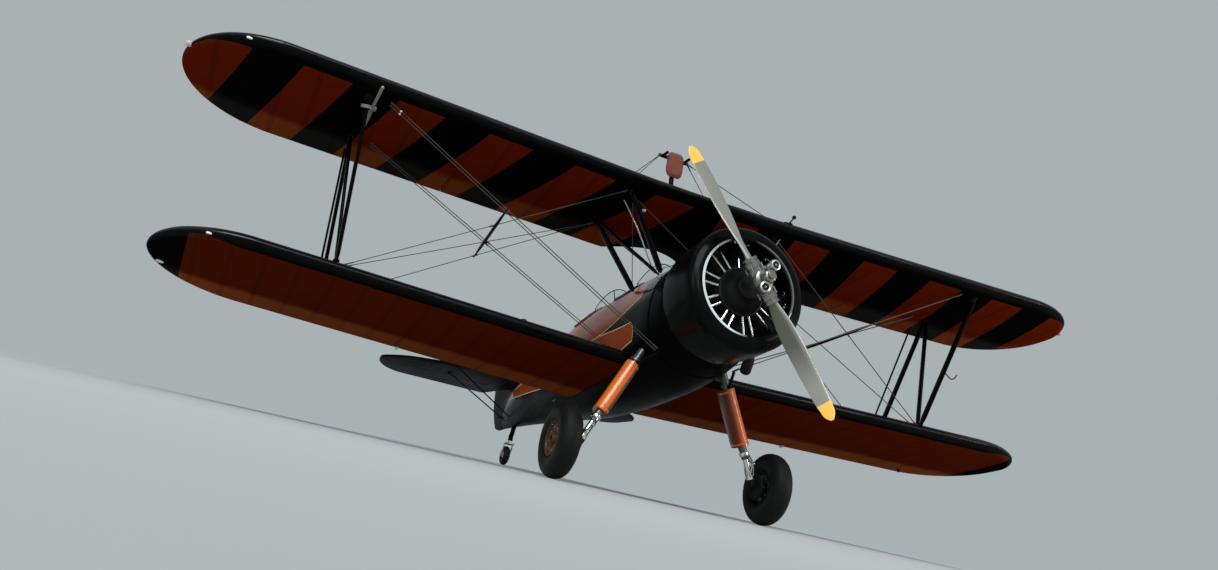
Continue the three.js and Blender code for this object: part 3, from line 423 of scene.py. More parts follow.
def leg_enamel():
    """Thick gloss orange, darkened by painted shade and less glossy where the mesh is marked as inboard."""
    f = enamel("orange_enamel", BRIGHT, 0.3, 1.0, 0.3)
    f.shader.inputs["Coat Roughness"].default_value = 0.16
    unshaded_paint = f.shader.inputs["Base Color"].links[0].from_socket
    # painted shade on the inboard side
    f.colour(f.mix(f.mark("inboard"), unshaded_paint, PAINTED_LEG_SHADE))
    f.feed(f.shader.inputs["Coat Weight"], f.span(f.mark("inboard"), 0.0, 1.0, 1.0, 0.05))
    return f.material


# Rib spacing, the wings' chord, a stripe's width and its slant per metre aft, and how far
# the weave's wave turns per metre, in radians
RIB = 0.29
CHORD = 1.524
STRIPE = 0.42
SLANT = 0.24
THREADS = 4200.0


def doped(name, upper):
    """Doped fabric on wings: mirrored slanting stripes or plain, a dark leading edge band,
    dark tips on the lower wing, taped ribs and the cloth's weave. Painted shade darkens the
    undersides' orange ahead of a strip along the trailing edge, and painted light lightens the
    black in that strip."""
    f = Finish(name, ORANGE, 0.42, **{"Specular IOR Level": 0.0, "Coat Roughness": 0.25})
    x, y, _ = f.level()
    out = f.calc("ABSOLUTE", x)
    aft = f.calc("SUBTRACT", y, UPPER["y"] if upper else LOWER["y"])
    if upper:
        along = f.calc("SUBTRACT", f.calc("SUBTRACT", out, f.product(aft, SLANT)), 0.12)
        dark = f.calc("GREATER_THAN", f.calc("FLOORED_MODULO", along, 2 * STRIPE), STRIPE)
    else:
        dark = f.calc("GREATER_THAN", f.calc("SUBTRACT", out, f.product(aft, 0.02)), 4.42)
    width = f.span(out, 4.25, 4.7, 0.125, 0.02) if upper else f.span(out, 4.0, 4.3, 0.105, 0.02)
    band = f.calc("LESS_THAN", f.mark("edge"), width)
    rim = f.calc("LESS_THAN", f.mark("rim"), 0.012)
    dark = f.calc("MAXIMUM", f.calc("MAXIMUM", dark, band), rim)
    # painted light and shade across the chord: 0 ahead of the rear strip, where the undersides' orange is
    # darkened, 1 in it, where the black is lightened
    painted_rear_light = f.span(aft, 1.08, 1.2)
    orange = f.mix(f.calc("MAXIMUM", painted_rear_light, f.mark("over")), UNDERSIDE_SHADE_UPPER if upper else UNDERSIDE_SHADE_LOWER, ORANGE)
    base = f.mix(dark, orange, f.mix(painted_rear_light, BLACK, PAINTED_LIT_BLACK))
    rib = f.off_beat(f.calc("ADD", f.calc("DIVIDE", out, RIB), 0.5))
    tape = f.span(rib, 0.075, 0.085, 1.0, 0.0)
    tape.node.interpolation_type = "SMOOTHSTEP"
    base = f.mix(f.product(tape, 0.2), base, (0.008, 0.005, 0.004))
    worn(f, base, 0.3, 1.4)
    sheen = f.calc("ADD", f.span(aft, 1.02, 1.2, 0.004, 0.034),
                   f.span(f.mark("edge"), 0.0, 0.09, 0.16, 0.0))
    crown = f.product(f.mark("over"), f.span(f.mark("edge"), 0.0, 0.06, 0.5, 0.0))
    f.feed(f.shader.inputs["Coat Weight"], f.calc("ADD", sheen, crown))
    f.bump(tape, 0.0008, 0.7)
    weave = f.product(f.calc("SINE", f.product(x, THREADS)), f.calc("SINE", f.product(y, THREADS)))
    f.bump(weave, 0.00005, 0.15)
    return f.bump(f.noise(26.0, 3.0), 0.0012, 0.25).material


# Wings, as in the airframe: leading edge at the centre line, half span, root, incidence

UPPER = {"y": 1.011, "z": 1.149, "half": 4.9, "root": 0.61, "rise": 0.61, "tilt": math.radians(3.6),
         "cut": True}
LOWER = {"y": 1.666, "z": -0.375, "half": 4.75, "root": 0.38, "rise": 0.0, "tilt": math.radians(3.3),
         "cut": False}
DIHEDRAL = math.tan(math.radians(1.8))
TIP = 0.86
AILERON = {"inner": 2.33, "outer": 4.13, "hinge": 1.18, "nose": 0.052}
GAP = 0.006


def camber(f):
    """Height of the mean line at a share f of the chord: two parabolas that meet at 0.3."""
    return np.where(f < 0.3, 0.02 / 0.09 * (0.6 * f - f * f), 0.02 / 0.49 * (0.4 + 0.6 * f - f * f))


def half_thick(f):
    """Half thickness at a share f of the chord: the usual sum of a root and four powers."""
    f = np.clip(f, 0, 1)
    return 0.65 * (0.2969 * np.sqrt(f) - 0.126 * f - 0.3516 * f ** 2 + 0.2843 * f ** 3 - 0.1015 * f ** 4)


def planform(wing, x):
    """Leading and trailing edge: straight, then a quarter ellipse each to the tip.

    The upper wing's trailing edge has a cosine-shaped cut-out at the centre.
    """
    reach = np.clip((np.abs(x) - (wing["half"] - TIP)) / TIP, 0, 0.9998)
    bend = 0.5 * CHORD * (1 - np.sqrt(1 - reach ** 2))
    trail = CHORD - bend
    if wing["cut"]:
        trail = trail - np.where(np.abs(x) < 0.52, 0.26 * np.cos(np.pi * x / 1.04), 0)
    return bend, trail


def on_wing(wing, x, aft, up):
    """A point of a wing from its place along the span, aft of the edge and over the chord."""
    c, s = math.cos(wing["tilt"]), math.sin(wing["tilt"])
    rise = np.maximum(0, np.abs(x) - wing["rise"]) * DIHEDRAL
    return xyz(x, wing["y"] + aft * c + up * s, wing["z"] + rise - aft * s + up * c)


def skin_up(wing, x, aft, which):
    """Height of the wing's skin over the chord, above for which 1 and below for -1.

    The cloth sags between ribs as the sine of the place along the span.
    """
    lead, trail = planform(wing, x)
    f = np.clip((aft - lead) / (trail - lead), 0, 1)
    sag = 0.0045 * np.abs(np.sin(np.pi * x / RIB)) * ease(0.1, 0.22, f) * (1 - ease(0.9, 1.0, f))
    return (camber(f) + which * (half_thick(f) + 0.0012)) * (trail - lead) - which * sag


def skin_point(wing, x, aft, which):
    """A point of a wing's upper skin for which 1, or of its lower skin for -1."""
    return on_wing(wing, x, aft, skin_up(wing, x, aft, which))


def span_stations(a, b, half=None):
    """Places along the span: every few centimetres, and closer round a tip at half."""
    x = np.linspace(a, b, max(3, int((b - a) / 0.0363)))
    if half:
        x = np.concatenate((x[:-1], half - TIP + TIP * np.sin(np.radians(np.linspace(0, 89, 30)))))
    return x


def wing_part(wing, side, xs, kind="whole", count=34):
    """A stretch of wing: the upper skin to the back and the lower skin to the front again.

    A whole stretch runs from the leading to the trailing edge. A fixed one ends at an aileron,
    and its ring closes by the arc of the hollow that the aileron's nose turns in. A moving one
    is the aileron, whose ring closes by the arc of that nose.
    """
    xs = np.asarray(xs)[:, None] * side
    lead, trail = planform(wing, xs)
    t = (1 - np.cos(np.linspace(0, np.pi, count)))[None] / 2
    if kind == "whole":
        reach = lead + (trail - lead) * t
        aft = np.concatenate((reach, reach[:, -2:0:-1]), 1)
        which = np.concatenate((np.ones(count), -np.ones(count - 2)))[None]
        up = skin_up(wing, xs, aft, which)
    else:
        fixed, hinge = kind == "fixed", AILERON["hinge"]
        middle = float(camber(np.array(hinge / CHORD)) * CHORD - 0.004)
        radius = AILERON["nose"] + (GAP if fixed else 0)
        half = float(half_thick(np.array(hinge / CHORD))) * CHORD
        arc = middle + half * np.cos(np.linspace(0, np.pi, 9))[None, 1:-1]
        bulge = hinge - np.sqrt(radius ** 2 - (arc - middle) ** 2)
        at = hinge - math.sqrt(radius ** 2 - half ** 2)
        reach = lead + (at - lead) * t if fixed else at + (trail - at) * (1 - t[:, ::-1])
        top, bottom = (skin_up(wing, xs, reach, which) for which in (1, -1))
        if fixed:
            aft = np.concatenate((reach, bulge + 0 * xs, reach[:, ::-1]), 1)
            up = np.concatenate((top, arc + 0 * xs, bottom[:, ::-1]), 1)
        else:
            aft = np.concatenate((reach, reach[:, -2::-1], bulge[:, ::-1] + 0 * xs), 1)
            up = np.concatenate((top, bottom[:, -2::-1], arc[:, ::-1] + 0 * xs), 1)
    over = up > camber((aft - lead) / (trail - lead)) * (trail - lead)
    return shell(on_wing(wing, xs, aft, up), edge=aft - lead, rim=trail - aft, over=over)


stripes = doped("doped_fabric_upper", True)
plain = doped("doped_fabric_lower", False)
black = enamel("black_enamel", BLACK).material
bright = leg_enamel()
steel = bare_metal("wire_steel", (0.42, 0.43, 0.43), 0.32, 60.0, 3.0, 0.22, 0.45, (1, 8, 1))
wire = weathered("dull_wire", (0.085, 0.075, 0.065), 0.5, 0.5, 3.0, 0.7).material

for name, side in SIDES:
    for wing, label, finish in ((UPPER, "upper", stripes), (LOWER, "lower", plain)):
        inner, outer, half = AILERON["inner"], AILERON["outer"], wing["half"]
        parts = [
            wing_part(wing, side, span_stations(wing["root"] + 0.0005, inner - GAP)),
            wing_part(wing, side, span_stations(inner - GAP - 0.001, outer + GAP + 0.001), "fixed"),
            wing_part(wing, side, span_stations(outer + GAP, half - TIP, half)),
        ]
        piece(f"{label}_wing_skin_{name}", parts, finish, replaces=f"{label}_wing_{name}")
        piece(f"{label}_aileron_skin_{name}",
              [wing_part(wing, side, span_stations(inner, outer), "moving")], finish,
              body=f"{label}_aileron_{name}", replaces=f"{label}_aileron_{name}")
piece("upper_centre_skin", [wing_part(UPPER, 1, np.linspace(-0.61, 0.61, 41))], stripes,
      replaces="upper_wing_centre")


# Fuselage: y, half width, top, bottom, and the powers that square its upper and lower half

SECTIONS = np.array((
    (0.70, 0.470, 0.465, -0.500, 1.00, 0.95),
    (1.08, 0.500, 0.510, -0.580, 0.98, 0.90),
    (1.50, 0.478, 0.560, -0.620, 0.95, 0.80),
    (2.00, 0.452, 0.600, -0.625, 0.93, 0.75),
    (2.80, 0.430, 0.640, -0.590, 0.92, 0.72),
    (3.50, 0.402, 0.665, -0.520, 0.92, 0.72),
    (3.95, 0.372, 0.630, -0.460, 0.92, 0.74),
    (4.70, 0.305, 0.565, -0.350, 0.92, 0.76),
    (5.60, 0.205, 0.490, -0.230, 0.92, 0.80),
    (6.30, 0.115, 0.425, -0.150, 0.95, 0.90),
    (6.70, 0.042, 0.385, -0.105, 1.00, 1.00),
))
COCKPITS = (("front", 2.01, 2.66), ("rear", 3.11, 3.76))
OPEN_HALF, OPEN_POWER = 0.29, 1 / 0.6
FLOOR = -0.33


def section(y):
    """Half width, top, bottom and the two powers at places y along the body."""
    return [through(SECTIONS[:, 0], SECTIONS[:, n], y) for n in range(1, 6)]


def body_point(y, angle, out=0.0):
    """A point of the skin: powers of the cosine and sine of angle times half width and height."""
    half, top, bottom, upper, lower = section(y)
    waist = bottom + (top - bottom) * 0.45
    c, s = np.cos(angle), np.sin(angle)
    power = np.where(s >= 0, upper, lower)
    tall = np.where(s >= 0, top - waist, waist - bottom)
    return xyz(np.sign(c) * np.abs(c) ** power * (half + out), y,
               waist + np.sign(s) * np.abs(s) ** power * (tall + out))


def open_half(y):
    """Half width of the cockpit opening at y: a rounded oblong, or 0 between cockpits."""
    width = np.zeros_like(y)
    for _, start, end in COCKPITS:
        v = np.clip(np.abs(2 * (y - start) / (end - start) - 1), 0, 1)
        width = np.maximum(width, OPEN_HALF * (1 - v ** (2 * OPEN_POWER)) ** (0.5 / OPEN_POWER))
    return width


def open_angle(y):
    """Angle at which the skin's upper side stops at the edge of the opening."""
    half, _, _, upper, _ = section(y)
    return np.arccos(np.clip((open_half(y) / half) ** (1 / upper), 0, 1))


def deck(y, x=0.0):
    """Height of the decking at y and x."""
    half, top, bottom, upper, _ = section(np.asarray(y, float))
    waist = bottom + (top - bottom) * 0.45
    c = np.clip(np.abs(x) / half, 0, 1) ** (1 / upper)
    return waist + np.sqrt(1 - c * c) ** upper * (top - waist)


def livery(f):
    """The body's colours by y and z: dark nose, spear and belly, orange decking and side
    panel, and cream lines along their edges."""
    _, y, z = f.level()

    def curve(points):
        """A height along the body from y 0.7 to 6.7: the two ends first, then those between."""
        made = f.node("FloatCurve", 1.0, f.span(y, 0.7, 6.7))
        ends = made.mapping.curves[0].points
        for n, (at, value) in enumerate(points):
            here = ((at - 0.7) / 6.0, value + 0.7)
            if n < 2:
                ends[n].location = here
            else:
                ends.new(*here)
        made.mapping.update()
        return f.calc("SUBTRACT", made.outputs[0], 0.7)

    decking = curve(((0.7, 0.27), (6.7, 0.36), (1.44, 0.17), (2.0, 0.075), (2.4, 0.035), (3.2, 0.06),
                     (4.6, 0.19)))
    panel = curve(((0.7, -0.15), (6.7, 0.34), (1.57, -0.075), (2.0, -0.03), (2.4, 0.015), (3.2, 0.04),
                   (4.6, 0.17)))
    belly = curve(((0.7, -0.24), (6.7, 0.28), (1.5, -0.27), (2.1, -0.31), (3.2, -0.26), (4.6, -0.06)))
    bow = f.calc("POWER", f.calc("ABSOLUTE", f.calc("ADD", z, 0.2)), 2.0)
    front = f.calc("ADD", f.product(bow, 5.0), 1.47)
    above = f.calc("MINIMUM", f.calc("SUBTRACT", z, decking),
                   f.calc("SUBTRACT", y, f.calc("ADD", 1.42, f.product(z, 0.22))))
    inside = f.calc("MINIMUM",
                    f.calc("MINIMUM", f.calc("SUBTRACT", panel, z), f.calc("SUBTRACT", z, belly)),
                    f.calc("SUBTRACT", y, front))
    nearest = f.calc("MAXIMUM", above, inside)
    orange = f.calc("GREATER_THAN", nearest, 0.0)
    cream = f.calc("LESS_THAN", f.calc("ABSOLUTE", f.calc("ADD", nearest, 0.003)), 0.0055)
    cream = f.product(cream, f.calc("LESS_THAN", y, 6.4))
    return f.mix(cream, f.mix(orange, BLACK, DECK_ORANGE), CREAM)


def body_paint():
    """The livery, glossier on the decking, with stringers under the cloth behind y 4."""
    f = Finish("fuselage_paint", DECK_ORANGE, 0.24, **{"Specular IOR Level": 0.01})
    worn(f, livery(f), 0.25, 1.1)
    f.bump(f.noise(120.0, 2.0), 0.0004, 0.3)
    _, y, z = f.level()
    f.feed(f.shader.inputs["Coat Weight"], f.span(z, 0.06, 0.2, 0.003, 0.55))
    stringer = f.calc("POWER", f.calc("ABSOLUTE", f.calc("SINE", f.product(z, 26.0))), 6.0)
    return f.bump(f.product(stringer, f.span(y, 3.9, 4.1)), 0.004, 0.5).material


def nose_paint():
    """Gloss black with the grooves between the panels, one round and one lengthwise."""
    f = weathered("nose_paint", BLACK, 0.24, 0.3, 2.2, **{"Specular IOR Level": 0.01})
    _, y, z = f.level()
    f.feed(f.shader.inputs["Coat Weight"], f.span(z, -0.2, 0.3, 0.01, 0.12))
    seam = f.calc("MINIMUM", f.apart(y, 0.86), f.apart(z, 0.05))
    return f.bump(f.span(seam, 0.0, 0.003), 0.002, 0.6).material


skin = body_paint()
cockpit_green = weathered("cockpit_paint", (0.05, 0.075, 0.05), 0.6, 0.4, 6.0).material
dark_metal = enamel("dark_metal", (0.012, 0.012, 0.013), 0.4, 0.0).material
alloy = bare_metal("bare_alloy", (0.50, 0.50, 0.49), 0.3, 45.0, 4.0, 0.2, 0.42)
chrome = bare_metal("polished_tube", (0.78, 0.78, 0.77), 0.12, 80.0, 2.0, 0.06, 0.2)


def solidified(made, thickness, inner=0, offset=-1.0):
    """Gives a sheet its wall with a modifier; the wall's far side takes another material slot."""
    wall = made.modifiers.new("wall", "SOLIDIFY")
    wall.thickness, wall.offset, wall.material_offset = thickness, offset, inner
    wall.use_even_offset = False
    return made


def rounded_stations():
    """Places along the body: even ones, with more where an opening's ends curve."""
    y = [np.arange(1.081, 6.69, 0.05), [6.685]]
    for _, start, end in COCKPITS:
        y.append((start + end) / 2 + (end - start) / 2 * np.sin(np.linspace(-np.pi / 2, np.pi / 2, 33)))
    y = np.unique(np.round(np.concatenate(y), 5))
    return y[np.append(True, np.diff(y) > 0.0007)]


def merged(made, distance=0.0002):
    """The mesh with its doubled points joined."""
    work = bmesh.new()
    work.from_mesh(made.data)
    bmesh.ops.remove_doubles(work, verts=work.verts, dist=distance)
    work.to_mesh(made.data)
    work.free()
    return made


y = rounded_stations()[:, None]
start = open_angle(y)
t = np.linspace(0, 1, 97)[None]
hull = body_point(y, start - t * (np.pi + 2 * start))
cabin = piece("fuselage_skin", [shell(hull, around=False, ends=False)], [skin, cockpit_green],
              replaces=("fuselage_cabin", "fuselage_tail_cone"))
merged(cabin)
solidified(cabin, 0.014, 1)

y = np.array((0.7, 0.705, 0.75, 0.8, 0.857, 0.86, 0.863, 0.92, 0.98, 1.04, 1.079))[:, None]
out = np.array((-0.012, 0, 0, 0, 0, -0.002, 0, 0, 0, 0, 0))[:, None]
piece("nose_cowling_panels",
      [shell(body_point(y, np.linspace(0, 2 * np.pi, 96, endpoint=False)[None], out))], nose_paint(),
      replaces="nose_cowling")

# Cockpits: padded rims, seats, panels and controls

hide = weathered("worn_hide", (0.10, 0.055, 0.03), 0.55, 0.5, 9.0)
cells = hide.node("TexVoronoi", hide.place, None, 420.0)
hide.bump(cells.outputs["Distance"], 0.0006, 0.5)
hide = hide.material


def rim_path(start, end, count=96):
    """The edge of an opening on the decking, as a closed line."""
    a = np.linspace(0, 2 * np.pi, count, endpoint=False)
    c, s = np.cos(a), np.sin(a)
    y = (start + end) / 2 + np.sign(s) * np.abs(s) ** 0.6 * (end - start) / 2
    x = np.sign(c) * np.abs(c) ** 0.6 * OPEN_HALF
    return xyz(x, y, deck(y, x) + 0.002)


def even(path, count):
    """A closed line with its points spread evenly along it."""
    path = np.concatenate((path, path[:1]))
    run = np.append(0, np.cumsum(np.linalg.norm(np.diff(path, axis=0), axis=1)))
    at = np.linspace(0, run[-1], count, endpoint=False)
    return np.stack([np.interp(at, run, path[:, n]) for n in range(3)], -1)


glass = Finish("screen_glass", (0.9, 0.93, 0.93), 0.03)
glass.shader.inputs["Transmission Weight"].default_value = 1.0
glass.shader.inputs["IOR"].default_value = 1.1
glass.rough(glass.span(glass.noise(30.0, 3.0), 0.4, 0.8, 0.02, 0.09))
glass = glass.material
for name, start, end in COCKPITS:
    rim = even(rim_path(start, end), 120)
    roll = hoop(rim, 0.017 * (1 + 0.04 * np.sin(np.arange(120) * 0.9)), 12, (0, 0, 1))
    piece("coaming_" + name, [roll], hide)
    middle = (start + end) / 2
    y = middle + 0.06
    pan = FLOOR + 0.25
    seat = [
        block((0, y, pan), (0.42, 0.40, 0.018)),
        block((0, y + 0.205, pan + 0.29), (0.42, 0.016, 0.56), turn=0.06),
        block((-0.205, y, pan + 0.09), (0.014, 0.39, 0.17)),
        block((0.205, y, pan + 0.09), (0.014, 0.39, 0.17)),
    ]
    for sx in (-0.15, 0.15):
        for sy in (-0.13, 0.13):
            seat.append(bar((sx, y + sy, FLOOR), (sx, y + sy, pan), 0.012))
    piece("seat_frame_" + name, seat, cockpit_green, replaces="seat_" + name)
    panel_y = start - 0.015
    a = np.linspace(0, np.pi, 33)
    arch = xyz(0.33 * np.cos(a), panel_y, deck(panel_y) - 0.36 + 0.335 * np.sin(a))
    sheet = np.stack((arch, arch * (1, 1, 0) + (0, 0, deck(panel_y) - 0.40)))
    board = piece("instrument_board_" + name, [shell(sheet, around=False, ends=False)], dark_metal)
    solidified(board, 0.004)
    dials = []
    for dx, dz, r in ((-0.16, -0.17, 0.04), (-0.055, -0.14, 0.04), (0.055, -0.14, 0.04),
                      (0.16, -0.17, 0.04), (-0.1, -0.25, 0.028), (0.0, -0.25, 0.04), (0.1, -0.25, 0.028)):
        dials.append(turned(((r, -0.004), (r, 0.008), (r - 0.006, 0.008), (r - 0.007, 0.003),
                             (0.001, 0.003)), (dx, panel_y, deck(panel_y) + dz), (0, 1, 0), 24))
    piece("dials_" + name, dials, chrome)
    stick = [bar((0, y - 0.30, FLOOR), (0, y - 0.24, 0.02), 0.012),
             bar((0, y - 0.242, 0.0), (0, y - 0.228, 0.11), 0.018),
             block((0, y - 0.3, FLOOR + 0.01), (0.1, 0.12, 0.03))]
    for sx in (-0.12, 0.12):
        stick.append(bar((sx, y - 0.66, FLOOR), (sx, y - 0.72, FLOOR + 0.14), 0.008))
        stick.append(block((sx, y - 0.72, FLOOR + 0.15), (0.09, 0.02, 0.05)))
    piece("controls_" + name, stick, dark_metal)

boards = [block((sx, 2.7, FLOOR - 0.008), (0.074, 2.38, 0.014)) for sx in np.arange(-0.28, 0.29, 0.08)]
timber = weathered("floor_timber", (0.20, 0.12, 0.06), 0.6, 0.5, 5.0)
timber.bump(timber.noise(30.0, 4.0, stretch=(6, 0.4, 1)), 0.001, 0.4)
piece("floor_boards", boards, timber.material)


def screen(y0):
    """A windscreen: a half-round sheet, its foot on the decking and its head drawn in and back."""
    a = np.linspace(-1, 1, 41)[None]
    t = np.linspace(0, 1, 9)[:, None]
    x = a * (0.27 - 0.06 * t)
    y = y0 + 0.16 * a ** 2 * (1 + 0.2 * t) + 0.13 * t
    foot = deck(y0 + 0.16 * a ** 2, x) - 0.004
    height = 0.215 * (1 - 0.75 * np.abs(a) ** 3)
    return xyz(x, y, foot + height * t)


for name, start, end in COCKPITS:
    grid = screen(start - 0.19)
    pane = piece("windscreen_pane_" + name, [shell(grid, around=False, ends=False)], glass,
                 replaces="windscreen_" + name)
    solidified(pane, 0.004, offset=0.0)
    frames = [tubing(grid[-1], 0.006, 8, (0, 0, 1)), tubing(grid[0], 0.008, 8, (0, 0, 1))]
    frames += [tubing(grid[:, n], 0.005, 8) for n in (0, 12, 28, 40)]
    piece("windscreen_frame_" + name, frames, black)

# Ring cowl and engine

COWL = {"front": 0.19, "back": 0.76, "lip": 0.445, "radius": 0.562}


def cowl():
    """A closed profile turned about the shaft: barrel, a quarter-round nose and the inner wall."""
    front, back, lip, radius = COWL.values()
    bend = radius - lip
    a = np.radians(np.linspace(84, -6, 20))
    nose = np.stack((lip + bend * np.sin(a), front + 0.075 * (1 - np.cos(a))), -1)
    barrel = np.array(((radius - 0.024, back), (radius - 0.012, back - 0.1), (radius - 0.002, back - 0.25),
                       (radius - 0.001, front + 0.22), (radius - 0.001, front + 0.14)))
    inner = np.array((
        (lip - 0.014, front + 0.008), (lip - 0.010, front + 0.026), (lip + 0.012, front + 0.055),
        (radius - 0.05, front + 0.12), (radius - 0.011, front + 0.2), (radius - 0.036, back)))
    return np.concatenate((barrel, nose, inner))


def cowl_paint():
    """Gloss black with grooves between three panels, and painted highlights on the lip.

    The painted highlight, white and partly metallic, lies inside a radius that grows towards
    the lower right, and its strength depends on three directions across the shaft.
    """
    f = Finish("cowl_enamel", BLACK, 0.2, coat=0.09,
               **{"Specular IOR Level": 0.02, "Coat Roughness": 0.2})
    worn(f, BLACK, 0.3)
    x, y, z = f.level()
    low = f.across(x, z, -0.96, -0.28)
    inner = f.calc("LESS_THAN", f.reach(x, z), f.span(low, 0.12, 0.4, 0.446, 0.456))
    lip = f.product(inner, f.calc("LESS_THAN", y, 0.24))
    right = f.across(x, z, 0.9, 0.42)
    patch = f.across(x, z, 0.906, -0.423)
    # painted highlight: the lip is made white where reflections fall, by direction across the shaft
    share = f.calc("MAXIMUM", f.span(low, 0.1, 0.26), f.span(right, 0.2, 0.32, 0.0, 0.13))
    painted_lip_highlight = f.product(lip, f.calc("MAXIMUM", share, f.span(patch, 0.434, 0.438)))
    f.colour(f.mix(painted_lip_highlight, BLACK, (0.95, 0.95, 0.95)))
    f.feed(f.shader.inputs["Metallic"], f.product(painted_lip_highlight, 0.6))
    thirds = f.calc("DIVIDE", f.calc("ARCTAN2", z, x), 2 * math.pi / 3)
    joint = f.off_beat(f.calc("ADD", thirds, 0.25))
    groove = f.calc("MINIMUM", f.span(joint, 0.0, 0.0012), f.span(f.apart(y, 0.42), 0.0, 0.003))
    return f.bump(groove, 0.002, 0.6).material


piece("cowl_shell", [turned(cowl(), sides=128, along=True)], cowl_paint(), replaces="engine_ring_cowl")
latches = []
for n in range(3):
    for at in (0.32, 0.42, 0.52, 0.62, 0.70):
        a = 2 * math.pi * (n + 0.25) / 3 + (0.022 if at != 0.42 else 0.03)
        for da in (-0.04, 0.0):
            r = 0.5605 - max(0, at - 0.5) * 0.06
            out = np.array((math.cos(a + da), 0, math.sin(a + da)))
            latches.append(turned(((0.0072, -0.002), (0.0072, 0.0012), (0.005, 0.0026), (0.001, 0.0028)),
                                  out * r + (0, at, 0), out, 10))
piece("cowl_fasteners", latches, dark_metal)

ENGINE_Y = 0.48
case = weathered("crankcase_paint", (0.007, 0.007, 0.008), 0.42, 0.5, 9.0, coat=0.03,
                 **{"Specular IOR Level": 0.12})
case = case.bump(case.noise(180.0, 3.0), 0.0006, 0.5).material
fins = weathered("barrel_black", (0.012, 0.012, 0.013), 0.5, 0.4, 20.0).material


def barrel_profile():
    """A finned barrel and head by distance from the shaft: teeth of a comb, wider on the head."""
    rows = [(0.062, 0.215), (0.062, 0.225)]
    for n in range(11):
        at = 0.228 + n * 0.0105
        rows += [(0.055, at), (0.073, at + 0.001), (0.073, at + 0.004), (0.055, at + 0.005)]
    for n in range(14):
        at = 0.348 + n * 0.0118
        wide = 0.096 - 0.0009 * (n - 4) ** 2 / 4
        rows += [(0.066, at), (wide, at + 0.001), (wide, at + 0.0042), (0.066, at + 0.0052)]
    rows += [(0.05, 0.517), (0.02, 0.521)]
    return rows


case_parts = [turned(((0.18, 0.715), (0.2, 0.7), (0.235, 0.6), (0.24, 0.585), (0.24, 0.385), (0.232, 0.37),
                      (0.2, 0.33), (0.185, 0.318), (0.178, 0.3), (0.135, 0.262), (0.105, 0.222), (0.1, 0.2),
                      (0.09, 0.192)), sides=72)]
cylinders, covers, tubes, plugs = [], [], [], []
for n in range(9):
    a = 2 * math.pi * n / 9
    out = np.array((math.sin(a), 0, math.cos(a)))
    across = np.array((math.cos(a), 0, -math.sin(a)))
    foot = np.array((0, ENGINE_Y, 0.0))
    cylinders.append(turned(barrel_profile(), foot, out, 28))
    case_parts.append(turned(((0.085, 0.2), (0.085, 0.226), (0.078, 0.232)), foot, out, 24))
    for k in range(10):
        b = 2 * math.pi * k / 10
        stud = foot + across * 0.079 * math.cos(b) + AFT * 0.079 * math.sin(b) + out * 0.228
        plugs.append(bar(stud, stud + out * 0.012, 0.005, 6))
    for d in (-0.052, 0.052):
        root = out * 0.175 + across * d * 0.55 + (0, 0.345, 0)
        head = out * 0.50 + across * d * 1.05 + (0, 0.39, 0)
        tubes.append(bar(root, head, 0.0125, 14))
        tubes.append(bar(root, root + 0.05 * unit(head - root), 0.0155, 14))
        tubes.append(bar(head - 0.03 * unit(head - root), head, 0.015, 14))
        box = out * 0.515 + across * d * 1.12 + (0, 0.44, 0)
        axis = unit(out * 0.25 + AFT)
        covers.append(turned(((0.014, -0.056), (0.028, -0.046), (0.031, -0.02), (0.031, 0.05),
                              (0.024, 0.062), (0.01, 0.066)), box - out * 0.012, axis, 18))
    plug = out * 0.46 + (0, 0.395, 0)
    plugs.append(turned(((0.008, 0.0), (0.011, 0.004), (0.011, 0.018), (0.007, 0.022), (0.007, 0.05)), plug,
                        (0, -1, 0) + out * 0.3, 8))
    t = np.linspace(0, 1, 12)[:, None]
    sweep = 0.02 * np.sin(np.pi * t)
    lead = out * (0.215 + 0.235 * t) + across * sweep + AFT * (0.338 + 0.012 * t + sweep)
    plugs.append(tubing(lead, 0.0042, 8, across))
    pipe = out * (0.3 + 0.2 * t) + across * (0.09 - 0.035 * t) + AFT * (0.67 - 0.12 * t)
    cylinders.append(tubing(pipe, 0.024, 12, across))
ring_angle = np.linspace(0, 2 * np.pi, 96, endpoint=False)
ring = xyz(0.212 * np.sin(ring_angle), 0.332, 0.212 * np.cos(ring_angle))
case_parts.append(hoop(ring, 0.011, 10, (0, 1, 0)))
for n in range(14):
    a = 2 * math.pi * n / 14
    plugs.append(bar(on_shaft(0.158, 0.296, a), on_shaft(0.158, 0.278, a), 0.007, 6))
piece("engine_case", case_parts, case, replaces="round_engine")
piece("engine_barrels", cylinders, fins, angle=50)
piece("rocker_covers", covers, alloy)
piece("pushrod_tubes", tubes, chrome)
piece("engine_studs_and_leads", plugs, dark_metal)
piece("propeller_shaft", [bar((0, 0.20, 0), (0, 0.035, 0), 0.033, 32)], chrome)
sheet = np.stack([xyz(r * np.cos(ring_angle), y, r * np.sin(ring_angle))
                  for r, y in ((0.2, 0.66), (0.519, 0.7))])
baffle = piece("engine_baffle", [shell(sheet, ends=False)], fins)
solidified(baffle, 0.004)

# Exhaust

exhaust_metal = weathered("burnt_steel", (0.010, 0.009, 0.009), 0.55, 0.6, 12.0, 0.4,
                          **{"Specular IOR Level": 0.2}).material
path = smooth_line(((0.30, 0.63, -0.328), (0.362, 0.738, -0.364), (0.421, 0.834, -0.398),
                    (0.446, 0.90, -0.424), (0.469, 0.963, -0.449)), 30)
outer = carried(path, circle(24), 0.052, (1, 0, 0))
inner = carried(path[::-1], circle(24), 0.047, (1, 0, 0))
piece("exhaust_pipe", [shell(np.concatenate((outer, inner)), along=True, ends=False)], exhaust_metal,
      replaces="exhaust_stack")

# Propeller: blade sections by radius, chord, thickness and pitch, turned to where it stopped

PAINTED_TIP = 1.135


